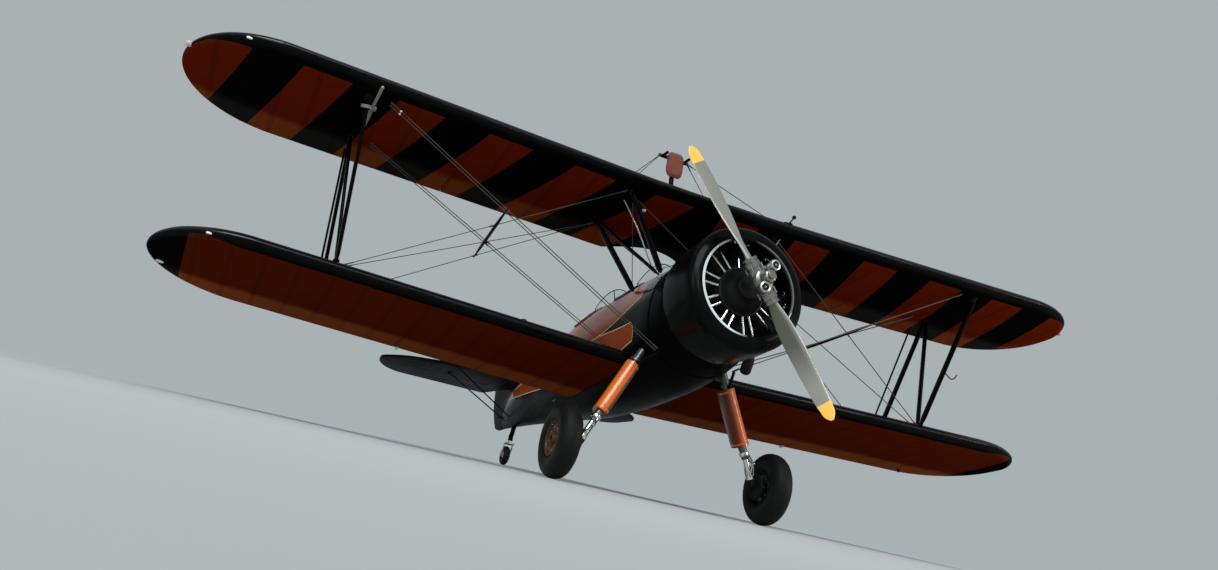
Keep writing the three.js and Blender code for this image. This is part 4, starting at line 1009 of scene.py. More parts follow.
def blade_metal():
    """Bare alloy with painted tips; where the mesh is marked, painted shade darkens one blade's trailing
    face and a painted highlight lightens the leading edges near the root.
    """
    f = Finish("blade_alloy", (0.40, 0.39, 0.35), 0.30, 0.75)
    x, _, z = f.level()
    reach = f.reach(x, z)
    tip = f.calc("GREATER_THAN", reach, PAINTED_TIP)
    grey = f.mix(f.span(f.noise(3.0, 3.0), 0.3, 0.75), (0.385, 0.375, 0.335), (0.43, 0.42, 0.38))
    # painted shade on the second blade's trailing face, fading out towards the tip
    grime_and_painted_shade = f.product(f.mark("dull"), f.span(reach, 0.6, 0.98, 1.0, 0.0))
    grey = f.mix(grime_and_painted_shade, grey, (0.15, 0.148, 0.115))
    # painted highlight along the leading edges near the root
    painted_edge_highlight = f.product(f.mark("lead"), f.span(reach, 0.62, 0.8, 1.0, 0.0))
    grey = f.mix(painted_edge_highlight, grey, (0.78, 0.76, 0.70))
    f.colour(f.mix(tip, grey, (0.95, 0.50, 0.09)))
    f.feed(f.shader.inputs["Metallic"], f.product(f.calc("SUBTRACT", 1.0, tip), 0.7))
    return f.bump(f.noise(220.0, 3.0, stretch=(1, 1, 0.2)), 0.00015, 0.2).material


BLADE = np.array((
    (0.155, 0.074, 0.066, 50), (0.20, 0.084, 0.059, 47), (0.28, 0.110, 0.047, 42), (0.42, 0.146, 0.035, 33),
    (0.70, 0.170, 0.024, 19), (0.98, 0.165, 0.017, 12), (1.17, 0.136, 0.012, 10), (1.255, 0.092, 0.009, 9),
    (1.288, 0.030, 0.005, 8),
))
TILT = math.radians(-38)
SPIN = np.array(((math.cos(TILT), 0, math.sin(TILT)), (0, 1, 0), (-math.sin(TILT), 0, math.cos(TILT))))


def blade(way):
    """A blade: an oval root that thins into a wing section, turned by its pitch at each radius.

    The leading edge and the crowned face are forward; the shaft turns clockwise seen from behind.
    """
    r = np.concatenate((np.linspace(0.155, 1.2, 40),
                        1.2 + 0.088 * np.sin(np.linspace(0.1, np.pi / 2, 12))))[:, None]
    chord, thick, pitch = (through(BLADE[:, 0], BLADE[:, n], r) for n in (1, 2, 3))
    a = np.linspace(0, 2 * np.pi, 40, endpoint=False)[None]
    flat = ease(0.2, 0.42, r)
    c = np.cos(a) * chord / 2
    t = np.sin(a) * thick / 2 * (1 - 0.35 * flat * np.cos(a)) * np.where(np.sin(a) < 0, 1, 1 - 0.6 * flat)
    p = np.radians(pitch)
    return xyz((c * np.cos(p) - t * np.sin(p)) * way, 0.015 + c * np.sin(p) + t * np.cos(p), r * way)


forward = -np.cos(np.linspace(0, 2 * np.pi, 40, endpoint=False))[None]
lead = ease(0.84, 0.96, forward)
# lead marks the leading edges for a painted highlight; dull marks the second blade's trailing face for
# painted shade
blades = [shell(blade(1) @ SPIN.T, lead=lead),
          shell(blade(-1) @ SPIN.T, lead=lead, dull=1 - ease(0.3, 0.95, forward))]
piece("propeller_blades", blades, blade_metal(), body="propeller", replaces="propeller")
hub = [turned(((0.03, -0.178), (0.036, -0.172), (0.036, -0.15), (0.05, -0.145), (0.055, -0.135),
               (0.058, -0.07), (0.066, -0.06), (0.082, -0.052), (0.088, -0.04), (0.088, 0.055),
               (0.07, 0.07), (0.045, 0.072)), sides=40)]
weights, caps, bolts = [], [], []
for way in (1, -1):
    up = np.array((0, 0, way)) @ SPIN.T
    across = np.array((way, 0, 0)) @ SPIN.T
    middle = np.array((0, 0.015, 0.0))
    hub.append(turned(((0.068, 0.03), (0.07, 0.05), (0.07, 0.1), (0.064, 0.105), (0.064, 0.12),
                       (0.07, 0.125), (0.07, 0.17), (0.062, 0.176), (0.062, 0.188), (0.066, 0.19),
                       (0.066, 0.212), (0.05, 0.215)), middle, up, 32))
    spot = lambda out, y, along: across * out + (0, y, 0) + up * along
    hub.append(bar(spot(0.042, -0.002, 0.098), spot(0.092, -0.085, 0.067), 0.0195, 16))
    at = spot(0.100, -0.150, 0.062)
    face = unit(spot(0.092, -0.078, 0.066) - at)
    weights.append(turned(((0.036, 0.070), (0.046, 0.064), (0.0495, 0.054), (0.0495, 0.012), (0.046, 0.003),
                           (0.038, 0.0), (0.031, 0.004), (0.029, 0.024), (0.012, 0.025), (0.002, 0.024)),
                          at, face, 40))
    caps.append(turned(((0.0285, 0.024), (0.0285, 0.012), (0.025, 0.009), (0.002, 0.009)), at, face, 32))
    bolts.append(bar(at + face * 0.012, at + face * 0.002, 0.011, 6))
    for k in range(4):
        b = math.pi / 2 * k + 0.7
        p = middle + up * 0.112 + across * 0.074 * math.cos(b) + AFT * 0.074 * math.sin(b)
        bolts.append(bar(p - up * 0.03, p + up * 0.03, 0.008, 6))
for k in range(8):
    a = 2 * math.pi * k / 8
    bolts.append(bar(on_shaft(0.047, -0.152, a), on_shaft(0.047, -0.14, a), 0.006, 6))
hub_metal = weathered("hub_steel", (0.30, 0.295, 0.28), 0.26, 0.6, 12.0, 1.0).material
piece("propeller_hub", hub, hub_metal, body="propeller")
piece("hub_counterweights", weights, alloy, body="propeller")
piece("counterweight_caps", caps, dark_metal, body="propeller")
piece("hub_bolts", bolts, steel, body="propeller")


# Main gear: leg, cover, oleo with torque links, axle, wheel

WHEEL = {"x": 1.05, "y": 1.375, "z": -1.375, "radius": 0.335, "tube": 0.103}
LEG_TOP, LEG_FOOT = np.array((0.430, 1.300, -0.420)), np.array((0.872, 1.375, -1.330))

rubber = weathered("tyre_rubber", (0.0045, 0.0045, 0.005), 0.5, 0.7, 5.0, **{"Specular IOR Level": 0.16})
groove = rubber.calc("ABSOLUTE", rubber.calc("SINE", rubber.product(rubber.mark("across"), 190.0)))
rubber.bump(rubber.product(rubber.span(groove, 0.0, 0.3), rubber.mark("tread")), 0.003, 0.8)
rubber.bump(rubber.noise(260.0, 2.0), 0.0003, 0.4)
rubber = rubber.material
hub_paint = Finish("wheel_enamel", (0.075, 0.024, 0.008), 0.4, coat=0.05, **{"Specular IOR Level": 0.15})
outboard = hub_paint.calc("GREATER_THAN", hub_paint.calc("ABSOLUTE", hub_paint.level()[0]), WHEEL["x"])
worn(hub_paint, hub_paint.mix(outboard, BLACK, (0.075, 0.024, 0.008)), 0.4, 9.0)
hub_paint = hub_paint.material
leg_steel = weathered("leg_steel", (0.13, 0.13, 0.135), 0.34, 0.4, 12.0, 1.0).material


def leg_point(side, t):
    """A point of the leg at t along it, from its top at 0 to the axle knuckle at 1."""
    p = LEG_TOP + np.asarray(t, float)[..., None] * (LEG_FOOT - LEG_TOP)
    return p * (side, 1, 1)


def leg_frame(side):
    """Along the leg, aft and square to it, and across."""
    along = unit(leg_point(side, 1.0) - leg_point(side, 0.0))
    aft = unit(AFT - along[1] * along)
    return along, aft, np.cross(along, aft)


def tyre(centre, radius, tube, seat, around, count):
    """A balloon section turned about x: powers of cosine and sine, with a foot on the rim."""
    a = np.radians(np.linspace(-128, 128, count - 2))
    c, s = np.cos(a), np.sin(a)
    r = radius - tube + tube * np.sign(c) * np.abs(c) ** 0.86
    w = tube * np.sign(s) * np.abs(s) ** 0.9
    r, w = np.append(r, (seat, seat)), np.append(w, (w[-1] * 0.86, -w[-1] * 0.86))
    turn = np.linspace(0, 2 * np.pi, around, endpoint=False)[:, None]
    grid = np.asarray(centre, float) + xyz(w[None], r[None] * np.cos(turn), r[None] * np.sin(turn))
    tread = ease(radius - 0.5 * tube, radius - 0.2 * tube, r)
    return shell(grid, along=True, ends=False, across=w[None], tread=tread[None])


for name, side in SIDES:
    along, aft, across = leg_frame(side)
    p = lambda t: leg_point(side, t)
    tube = [bar(p(-0.02), p(0.8), 0.0355, 24),
            turned(((0.037, -0.012), (0.05, -0.01), (0.05, 0.012), (0.037, 0.014)), p(0.105), along, 24)]
    piece("gear_leg_tube_" + name, tube, leg_steel, replaces="gear_leg_" + name)
    brace = bar((side * 0.380, 1.01, -0.48), p(0.16), 0.0145, 14)
    piece("gear_leg_brace_" + name, [brace], black)
    knee = p(0.86) + (0, -0.105, 0)
    bright_parts = [bar(p(0.76), p(1.0), 0.027, 24),
                    turned(((0.03, -0.02), (0.045, -0.018), (0.047, 0.0), (0.045, 0.016), (0.034, 0.02)),
                           p(0.752), along, 24),
                    turned(((0.028, -0.02), (0.042, -0.018), (0.044, 0.02), (0.03, 0.024)),
                           p(0.965), along, 24)]
    for dx in (-0.022, 0.022):
        for t, dy in ((0.75, -0.03), (0.965, -0.03)):
            bright_parts.append(bar(p(t) + across * dx + (0, dy, 0), knee + across * dx * 0.25, 0.008, 10))
    bright_parts.append(bar(knee - across * 0.02, knee + across * 0.02, 0.009, 12))
    piece("oleo_and_links_" + name, bright_parts, chrome)
    knuckle = [bar(p(0.965), p(1.0) + along * 0.045, 0.041, 24),
               bar((side * 0.855, WHEEL["y"], WHEEL["z"]),
                   (side * (WHEEL["x"] + 0.062), WHEEL["y"], WHEEL["z"]), 0.026, 24),
               turned(((0.03, -0.012), (0.115, -0.010), (0.12, -0.004), (0.12, 0.006), (0.03, 0.01)),
                      (side * 0.925, WHEEL["y"], WHEEL["z"]), (1, 0, 0), 32)]
    piece("axle_and_brake_" + name, knuckle, dark_metal)
    t = np.linspace(0.68, 0.98, 12)
    hose = p(t) + aft * 0.05 + across * (0.012 * np.sin(t * 25))[:, None]
    piece("brake_line_" + name, [tubing(hose, 0.005, 8, across)], dark_metal)

    a = np.radians(np.linspace(82, 278, 21))
    nose_arc = np.stack((0.066 * np.cos(a), 0.066 * np.sin(a)), -1)
    tail_side = np.array(((0.06, -0.0585), (0.10, -0.043), (0.145, -0.024), (0.178, -0.009),
                          (0.1935, -0.0015)))
    section = np.concatenate((nose_arc, tail_side, tail_side[::-1] * (1, -1)))
    t = np.array((0.14, 0.143, 0.15, 0.2, 0.3, 0.4, 0.5, 0.6, 0.67, 0.677, 0.68))
    size = np.array((0.93, 0.985, 1, 1, 1, 1, 1, 1, 1, 0.985, 0.93))
    section_grid = carried(p(t), section, size, aft)
    # inboard marks the side of each cover that takes painted shade
    inward = (p(t)[:, :1] - section_grid[..., 0]) * side
    inward = np.where(np.arange(len(section)) < len(nose_arc), ease(0.004, 0.045, inward), inward > 0)
    piece("gear_leg_cover_shell_" + name, [shell(section_grid, inboard=inward)], bright,
          replaces="gear_leg_cover_" + name)
    straps = []
    for at in (0.17, 0.655):
        edges = p(at + np.array((-0.008, -0.007, 0.007, 0.008)))
        straps.append(shell(carried(edges, section, np.array((1.0, 1.018, 1.018, 1.0)), aft)))
    piece("cover_straps_" + name, straps, bright)

    centre = np.array((side * WHEEL["x"], WHEEL["y"], WHEEL["z"]))
    wheel = "wheel_" + name
    piece("tyre_casing_" + name, [tyre(centre, WHEEL["radius"], WHEEL["tube"], 0.152, 46, 24)], rubber,
          body=wheel, replaces="tyre_" + name)
    disc = mirrored([
        (0.0275, -0.088), (0.036, -0.088), (0.040, -0.084), (0.048, -0.06), (0.058, -0.052), (0.09, -0.062),
        (0.124, -0.06), (0.138, -0.066), (0.146, -0.082), (0.155, -0.086), (0.158, -0.082), (0.152, -0.07)])
    piece("wheel_disc_" + name, [turned(disc, centre, (1, 0, 0), 56, along=True)], hub_paint, body=wheel,
          replaces="wheel_hub_" + name)
    bolts = []
    for k in range(8):
        b = 2 * math.pi * k / 8
        for face in (-1, 1):
            q = centre + (face * 0.056, 0.104 * math.cos(b), 0.104 * math.sin(b))
            bolts.append(bar(q, q + (face * 0.012, 0, 0), 0.008, 6))
    out = np.array((side * 1.0, 0, 0))
    valve = centre + (0, 0.03, 0.125)
    bolts.append(bar(valve + out * 0.05 + (0, 0, 0.003), valve + out * 0.088, 0.004, 8))
    piece("wheel_bolts_" + name, bolts, steel, body=wheel)
    cap = centre + out * 0.0625
    piece("axle_nut_" + name,
          [bar(cap, cap + out * 0.02, 0.026, 6), bar(cap + out * 0.018, cap + out * 0.03, 0.012, 10)],
          dark_metal)

# Struts between the wings, cabane and slave struts

FRONT_SPAR, REAR_SPAR = 0.21, 1.02


def spar(wing, side, x, aft, which, sink=0.006):
    """A point on a spar, sunk by a little into the wing's upper or lower skin."""
    return skin_point(wing, side * x, aft, which) - (0, 0, which * sink)


def spars(wing, side, x, which, shift=0.0):
    """The two points on a wing's skin at the front and rear spar, shifted aft."""
    return [spar(wing, side, x, aft + shift, which, 0.0) for aft in (FRONT_SPAR, REAR_SPAR)]


def streamlined(count=24):
    """A strut's section: an ellipse whose blunt half points forward."""
    a = np.linspace(0, 2 * np.pi, count, endpoint=False)
    return np.stack((np.cos(a), np.sin(a) * (1 - 0.28 * np.cos(a))), -1)


def strut(a, b, chord, thick):
    """A streamlined strut, drawn in to a tongue at both ends."""
    t = np.array((0, 0.02, 0.045, 0.075, 0.3, 0.5, 0.7, 0.925, 0.955, 0.98, 1))
    wide = np.array((0.45, 0.5, 0.85, 1, 1, 1, 1, 1, 0.85, 0.5, 0.45))
    fat = np.array((0.5, 0.55, 0.8, 1, 1, 1, 1, 1, 0.8, 0.55, 0.5))
    path = np.asarray(a) + t[:, None] * (np.asarray(b) - a)
    return shell(carried(path, streamlined(), np.stack((wide * chord / 2, fat * thick / 2), -1), (0, 1, 0)))


def flat_wire(a, b, wide, thick, sides=10):
    """A straight wire of streamlined section, its width fore and aft."""
    return shell(carried(line(a, b), streamlined(sides), ((wide, thick), (wide, thick))))


def fitting(at, toward, width=0.03):
    """A strut's end fitting: two lugs on a base plate and a bolt through them."""
    toward = unit(np.asarray(toward) - at)
    made = [turned(((0.03, -0.004), (0.034, 0.0), (0.034, 0.003), (0.02, 0.007)), at,
                   (0, 0, 1 if toward[2] > 0 else -1), 20)]
    pin = at + toward * 0.036
    for dx in (-width / 2, width / 2):
        made.append(bar(at + (dx, 0, 0), pin + (dx, 0, 0) + toward * 0.014, 0.011, 10))
    made.append(bar(pin - (width * 0.9, 0, 0), pin + (width * 0.9, 0, 0), 0.0065, 8))
    return made


STRUT = {"lower": 3.2, "upper": 3.345, "chord": 0.084, "thick": 0.034}
CABANE = {"top": 0.79, "foot": 0.385, "foot_z": 0.389, "front": 1.23, "rear": 1.834, "chord": 0.092,
          "thick": 0.04}
SLAVE = {"aft": 0.085, "over": 0.02, "gap": 0.016}
for name, side in SIDES:
    low = lambda aft: spar(LOWER, side, STRUT["lower"], aft, 1)
    high = lambda aft: spar(UPPER, side, STRUT["upper"], aft, -1)
    bays = [(low(FRONT_SPAR), high(FRONT_SPAR), 1.0), (low(REAR_SPAR), high(REAR_SPAR), 1.0),
            (low(FRONT_SPAR + 0.04), high(REAR_SPAR - 0.03), 0.8)]
    piece("interplane_struts_" + name,
          [strut(a, b, STRUT["chord"] * k, STRUT["thick"] * (0.5 + 0.5 * k)) for a, b, k in bays], black,
          replaces="wing_struts_" + name)
    joints = [f for a, b, _ in bays for f in fitting(a, b) + fitting(b, a)]
    feet = [np.array((side * (CABANE["foot"] - 0.012), CABANE[end], CABANE["foot_z"] - 0.025))
            for end in ("front", "rear")]
    heads = [spar(UPPER, side, CABANE["top"], aft, -1) for aft in (FRONT_SPAR, REAR_SPAR)]
    legs = [strut(feet[0], heads[0], CABANE["chord"], CABANE["thick"]),
            strut(feet[1], heads[1], CABANE["chord"], CABANE["thick"]),
            strut(feet[0] + (0, 0.05, 0), heads[1] + (0, -0.04, 0), CABANE["chord"] * 0.45,
                  CABANE["thick"] * 0.7)]
    piece("cabane_" + name, legs, black, replaces="cabane_struts_" + name)
    for foot, head in zip(feet, heads):
        joints += fitting(head, foot)
        seat = foot + unit(head - foot) * 0.035
        joints += fitting(seat, head)
    piece("strut_fittings_" + name, joints, dark_metal)
    behind = AILERON["hinge"] + SLAVE["aft"]
    pin = skin_point(LOWER, side * STRUT["lower"], behind, 1) + (0, 0, SLAVE["over"])
    foot = pin + (side * 0.021, 0, 0)
    head = skin_point(UPPER, side * STRUT["upper"], behind, -1) - (0, 0, SLAVE["gap"])
    axis = unit(head - foot)
    rod = [bar(foot + axis * 0.03, head - axis * 0.03, 0.0105, 16), ball(foot + axis * 0.008, 0.0125),
           ball(head - axis * 0.012, 0.0125), bar(foot, foot + axis * 0.06, 0.0075, 10),
           bar(head - axis * 0.06, head, 0.0075, 10),
           bar(pin - (side * 0.014, 0, 0), foot + (side * 0.004, 0, 0), 0.006, 12)]
    piece("aileron_link_" + name, rod, black, body="slave_strut_" + name, replaces="slave_strut_" + name)
    ear = block(pin + (0, 0, -0.01), (0.008, 0.036, 0.06))
    piece("link_ear_" + name, [ear], black, body="lower_aileron_" + name)

# Grey arm on the head of the right front strut: a thin bar forward, a fat one aft, a ring clamp

arm_grey = weathered("arm_grey", (0.26, 0.255, 0.22), 0.45, 0.4, 14.0, 0.2).material
top = spar(UPPER, -1, STRUT["upper"], FRONT_SPAR, -1, 0.02)
below = spar(LOWER, -1, STRUT["lower"], FRONT_SPAR, 1, 0.02)
grip = top + (below - top) * (0.11 / (top[2] - below[2]))
y = np.array((0.83, 0.832, 0.84, 1.0, 1.15, 1.30, 1.34, 1.36, 1.5, 1.64, 1.675, 1.687, 1.69))
wide = np.array((0.006, 0.011, 0.0138, 0.0138, 0.0138, 0.0138, 0.0175, 0.0198, 0.0198, 0.0198, 0.0185,
                 0.012, 0.005))
climb = lambda y: 1.062 + 0.034 * (y - 0.83) / 0.86
bar_path = xyz(grip[0] + 0.046, y, climb(y))
collar_at = np.array((grip[0], grip[1], climb(grip[1])))
down = unit(spar(LOWER, -1, STRUT["lower"], FRONT_SPAR, 1) - top)
arm_parts = [tubing(bar_path, wide, 20, (1, 0, 0)),
             turned(((0.0435, -0.015), (0.051, -0.015), (0.054, -0.012), (0.054, 0.012), (0.051, 0.015),
                     (0.0435, 0.015)), collar_at, down, 36, along=True),
             block(collar_at + (0.056, 0, 0), (0.05, 0.044, 0.03), 0.005)]
for dy in (-0.014, 0.014):
    arm_parts.append(bar(collar_at + (0.07, dy, -0.019), collar_at + (0.07, dy, 0.019), 0.005, 6))
piece("strut_head_arm", arm_parts, arm_grey, replaces="strut_arm")

# Fuel pipes at the cabane, a filler knob, and small fittings on the wings and a strut, with pale blocks and
# balls on the right wing that are painted glints

# Where the wires meet the body (y, z) and the wings (x), and half the gap of a doubled wire
BODY_FIT = ((1.05, -0.45), (1.85, -0.33))
WIRE_OUT = 3.15
PAIR = 0.026

pipes = []
for ends in (((0.86, 1.20, 1.086), (0.62, 1.19, 0.70), (0.46, 1.18, 0.40), (0.41, 1.18, 0.26)),
             ((-0.79, 1.40, 1.088), (-0.60, 1.40, 0.82), (-0.45, 1.40, 0.56), (-0.36, 1.40, 0.42))):
    pipes.append(tubing(smooth_line(ends, 24), 0.0075))
piece("fuel_pipes", pipes, steel)
knob_foot = skin_point(UPPER, 0.85, 0.03, 1)
knob = knob_foot + (0.045, -0.02, 0.075)
piece("filler_knob",
      [bar(knob_foot - (0, 0, 0.004), knob, 0.008, 12),
       bar(knob_foot + (-0.05, 0.0, -0.004), knob_foot + (0.04, -0.002, 0.006), 0.011, 12),
       ball(knob, 0.021)], dark_metal)
pale = []
# pale blocks on the right wings' leading edges: painted glints
for wing, x in ((UPPER, -4.40), (LOWER, -4.27)):
    lead = float(planform(wing, x)[0])
    q = skin_point(wing, x, lead + 0.004, -1)
    pale.append(block(q + (0, 0.004, -0.004), (0.05, 0.02, 0.018), 0.004))
q = skin_point(UPPER, -0.54, 0.44, -1)
pale.append(turned(((0.022, 0.006), (0.022, 0.0), (0.016, -0.012), (0.006, -0.018)), q, (0, 0, 1), 16))
q = skin_point(LOWER, -4.62, 1.05, -1)
pale.append(turned(((0.037, 0.004), (0.037, -0.003), (0.03, -0.006), (0.012, -0.007)), q, (0, 0, 1), 24))
for side in (-1, 1):
    trail = float(planform(LOWER, side * 2.29)[1])
    q = skin_point(LOWER, side * 2.29, trail - 0.004, -1)
    pale.append(block(q + (0, 0, -0.006), (0.024, 0.078, 0.024), 0.005))
# pale balls on the right front flying wire: painted glints
q = spar(UPPER, -1, WIRE_OUT, FRONT_SPAR, -1, 0.0)
u = unit(np.array((-0.4, *BODY_FIT[0])) - q)
pale += [ball(q + u * 0.115 + (0, dy, 0), 0.011, 10) for dy in (-PAIR, PAIR)]
pale_paint = weathered("pale_fitting_and_glint", (0.80, 0.80, 0.77), 0.4, 0.3, 14.0).material
piece("pale_fittings_and_glints", pale, pale_paint)
hook = smooth_line(((3.262, 1.585, 0.39), (3.31, 1.57, 0.345), (3.35, 1.57, 0.325), (3.39, 1.57, 0.345),
                    (3.425, 1.57, 0.39)), 20)
piece("strut_hook", [tubing(hook, 0.0065)], dark_metal)
q = skin_point(LOWER, 3.86, 1.40, -1)
piece("aileron_nub",
      [turned(((0.014, 0.004), (0.016, -0.012), (0.013, -0.034), (0.006, -0.04)), q, (0, 0, 1), 16)],
      dark_metal, body="lower_aileron_left")

# Flying and landing wires, their forks, javelins and the cabane's cross wires

for name, side in SIDES:
    high = spars(UPPER, side, WIRE_OUT, -1)
    low = spars(LOWER, side, WIRE_OUT, 1)
    centre = spars(UPPER, side, CABANE["top"] + 0.04, -1)
    body = [np.array((side * 0.4, y, z)) for y, z in BODY_FIT]
    wires = [(body[0], high[0]), (body[1], high[1]), (centre[0], low[0]), (centre[1], low[1])]
    lines = [(a + (0, dy, 0), b + (0, dy, 0)) for a, b in wires[:2] for dy in (-PAIR, PAIR)]
    lines += wires[2:] + [(centre[1] + (0, 0.03, 0), low[0] + (0, 0.05, 0))]
    at = lambda pair, x: pair[0] + (pair[1] - pair[0]) * ((side * x - pair[0][0]) / (pair[1] - pair[0])[0])
    cross = []
    for first, second in ((0, 2), (1, 3)):
        near, far = (at(wires[first], x)[2] - at(wires[second], x)[2] for x in (1.0, 3.0))
        cross.append(1.0 - near * 2.0 / (far - near))
    front, rear = at(wires[0], cross[0]), at(wires[3], cross[1])
    along = unit(rear - front)
    stick = tubing(line(front - along * 0.04, rear + along * 0.04, 9),
                   (0.006, 0.011, 0.015, 0.0155, 0.0155, 0.0155, 0.015, 0.011, 0.006), 14, (0, 0, 1))
    piece("javelin_" + name, [stick], black)
    strands, forks = [], []
    for a, b in lines:
        u = unit(b - a)
        strands.append(flat_wire(a + u * 0.01, b - u * 0.01, 0.0062, 0.0034))
        for end, way in ((a, u), (b, -u)):
            forks.append(bar(end, end + way * 0.05, 0.0085, 10))
            forks.append(bar(end + way * 0.05, end + way * 0.11, 0.0055, 10))
            forks.append(bar(end + way * 0.02 - (0, 0.014, 0), end + way * 0.02 + (0, 0.014, 0), 0.006, 8))
    for k, crossing in ((1, cross[1]), (2, cross[0])):
        p = at(wires[k], crossing)
        t = float((p - front) @ along)
        forks.append(bar(p, front + along * t, 0.008, 10))
    for k in range(4):
        p = at(wires[k], cross[k % 2])
        for dy in (-PAIR, PAIR) if k < 2 else (0,):
            q, u = p + (0, dy, 0), unit(wires[k][1] - wires[k][0])
            forks.append(bar(q - u * 0.03, q + u * 0.03, 0.008, 10))
        if k < 2:
            forks.append(bar(p - (0, PAIR, 0), p + (0, PAIR, 0), 0.006, 8))
    piece("rigging_wires_" + name, strands, wire, replaces="bracing_wires_" + name)
    piece("wire_forks_" + name, forks, wire)
cross_wires = []
feet = {side: [np.array((side * 0.378, CABANE[end] + 0.03, CABANE["foot_z"] + 0.02))
               for end in ("front", "rear")] for side in (1, -1)}
heads = {side: spars(UPPER, side, CABANE["top"] - 0.03, -1, 0.03) for side in (1, -1)}
for end in (0, 1):
    for side in (1, -1):
        clear = (0, 0.012 * side, 0)
        cross_wires.append(flat_wire(feet[side][end] + clear, heads[-side][end] + clear, 0.0055, 0.003))
cross_wires += [flat_wire(feet[side][1], heads[side][0], 0.005, 0.003) for side in (1, -1)]
piece("cabane_wires", cross_wires, wire)

# Tail: flat surfaces whose moving parts turn about round noses

TAIL_HINGE_Y, TAIL_Z = 6.61, 0.45
RUDDER_HINGE_Y = 6.73
TAIL_THICK, TAIL_NOSE = 0.064, 0.032
PROFILE = ((0, 0.12), (0.06, 0.62), (0.2, 0.92), (0.45, 1), (0.75, 0.62), (1, 0.12))
tail_cloth = weathered("tail_enamel", BLACK, 0.36, 0.35, 2.2, coat=0.01, **{"Specular IOR Level": 0.02})
rib = tail_cloth.off_beat(tail_cloth.product(tail_cloth.mark("station"), 4.2))
tail_cloth.bump(tail_cloth.span(rib, 0.0, 0.08, 1.0, 0.0), 0.0035, 0.8)
tail_cloth = tail_cloth.bump(tail_cloth.noise(26.0, 3.0), 0.001, 0.25).material


def tail_height(f, thick):
    """Half thickness of a tail surface at a share of its chord."""
    shares = np.array(PROFILE)
    return through(shares[:, 0], shares[:, 1], np.clip(f, 0, 1)) * thick / 2


def tail_part(stations, lead, trail, thick, hinge, place, moving, back=None, count=22):
    """A stretch of tail surface, from its leading edge to the hollow or from the round nose back.

    back is where a slanted end cuts a moving surface.
    """
    stations, lead, trail = (np.asarray(v, float)[:, None] for v in (stations, lead, trail))
    thick = np.minimum(np.broadcast_to(np.asarray(thick, float).reshape(-1, 1), lead.shape),
                       (trail - lead) * 0.3)
    t = (1 - np.cos(np.linspace(0, np.pi, count)))[None] / 2
    up = lambda y: tail_height((y - lead) / (trail - lead), thick)
    half = np.minimum(up(hinge + 0 * lead), TAIL_NOSE * 0.98)
    radius = TAIL_NOSE + (0 if moving else GAP)
    arc = half * np.cos(np.linspace(0, np.pi, 9))[None, 1:-1]
    bulge = hinge - np.sqrt(radius ** 2 - arc ** 2)
    start = hinge - np.sqrt(radius ** 2 - half ** 2)
    if moving:
        end = np.minimum(trail, np.asarray(back, float)[:, None]) if back is not None else trail
        reach = start + (np.maximum(end, start + 0.004) - start) * t
        y = np.concatenate((reach, reach[:, ::-1], bulge[:, ::-1]), 1)
        h = np.concatenate((up(reach), -up(reach)[:, ::-1], arc[:, ::-1]), 1)
        near = np.abs(y[:, :1] - y) < 1e-9
        h = np.where(near & (h > 0), half, np.where(near, -half, h))
    else:
        reach = lead + (start - lead) * t
        y = np.concatenate((reach, bulge, reach[:, ::-1]), 1)
        h = np.concatenate((up(reach), arc, -up(reach)[:, ::-1]), 1)
    return shell(place(stations, y, h), station=stations)


TAILPLANE = {"half": 1.88, "bend": 1.46, "round": 0.42}


def tailplane_edges(x):
    """Leading and trailing edge: a straight sweep, rounded to the tip by a quarter ellipse."""
    lead = 5.70 + 0.62 * x / TAILPLANE["half"]
    reach = np.clip((x - TAILPLANE["bend"]) / TAILPLANE["round"], 0, 0.999)
    bend = 1 - np.sqrt(1 - reach ** 2)
    return lead + (6.60 - lead) * bend, 7.13 - 0.53 * bend


def half_tail(side, stations, *moving):
    """One side's tailplane or elevator, thinner towards the tip."""
    thick = TAIL_THICK * (1 - 0.35 * stations / TAILPLANE["half"])
    return tail_part(stations, *tailplane_edges(stations), thick, TAIL_HINGE_Y,
                     lambda s, y, h: xyz(side * s, y, TAIL_Z + h), *moving)


tip = TAILPLANE["bend"] + 0.414 * np.sin(np.radians(np.linspace(0, 88, 16)))
for name, side in SIDES:
    s = np.concatenate((np.linspace(0.04, 1.42, 30), tip))
    piece("tailplane_skin_" + name, [half_tail(side, s, False)], tail_cloth,
          replaces="tailplane_" + name)
    s = np.concatenate((np.linspace(0.097, 0.31, 16), np.linspace(0.35, 1.42, 24), tip))
    back = TAIL_HINGE_Y + (s - 0.096) * 0.6 / 0.204
    piece("elevator_skin_" + name, [half_tail(side, s, True, back)], tail_cloth,
          body="elevators", replaces="elevator_" + name)
    hinges = []
    for s in (0.42, 1.24):
        q = np.array((side * s, TAIL_HINGE_Y, TAIL_Z))
        hinges.append(bar(q - (0.009, 0, 0), q + (0.009, 0, 0), 0.034, 20))
    piece("elevator_hinges_" + name, hinges, dark_metal, body="elevators")
    stays = []
    for y0, y1 in ((6.12, 6.08), (6.34, 6.46)):
        stays.append(flat_wire((side * 0.098, y0, -0.075), (side * 0.96, y1, TAIL_Z - 0.024),
                               0.015, 0.0075, 16))
        stays.append(ball((side * 0.96, y1, TAIL_Z - 0.032), 0.014))
    piece("tail_struts_" + name, stays, black, replaces="tail_brace_" + name)

# Fin and rudder: height, leading edge and trailing edge, and below it the rudder's foot

FIN = np.array((
    (0.300, 5.700, 7.330), (0.480, 5.830, 7.390), (0.700, 5.965, 7.420), (0.950, 6.125, 7.360),
    (1.200, 6.290, 7.235), (1.380, 6.425, 7.080), (1.490, 6.550, 6.930), (1.540, 6.690, 6.780),
))
FOOT = np.array(((-0.100, 6.850), (-0.060, 7.000), (0.060, 7.170)))
FIN_FOOT = 0.3


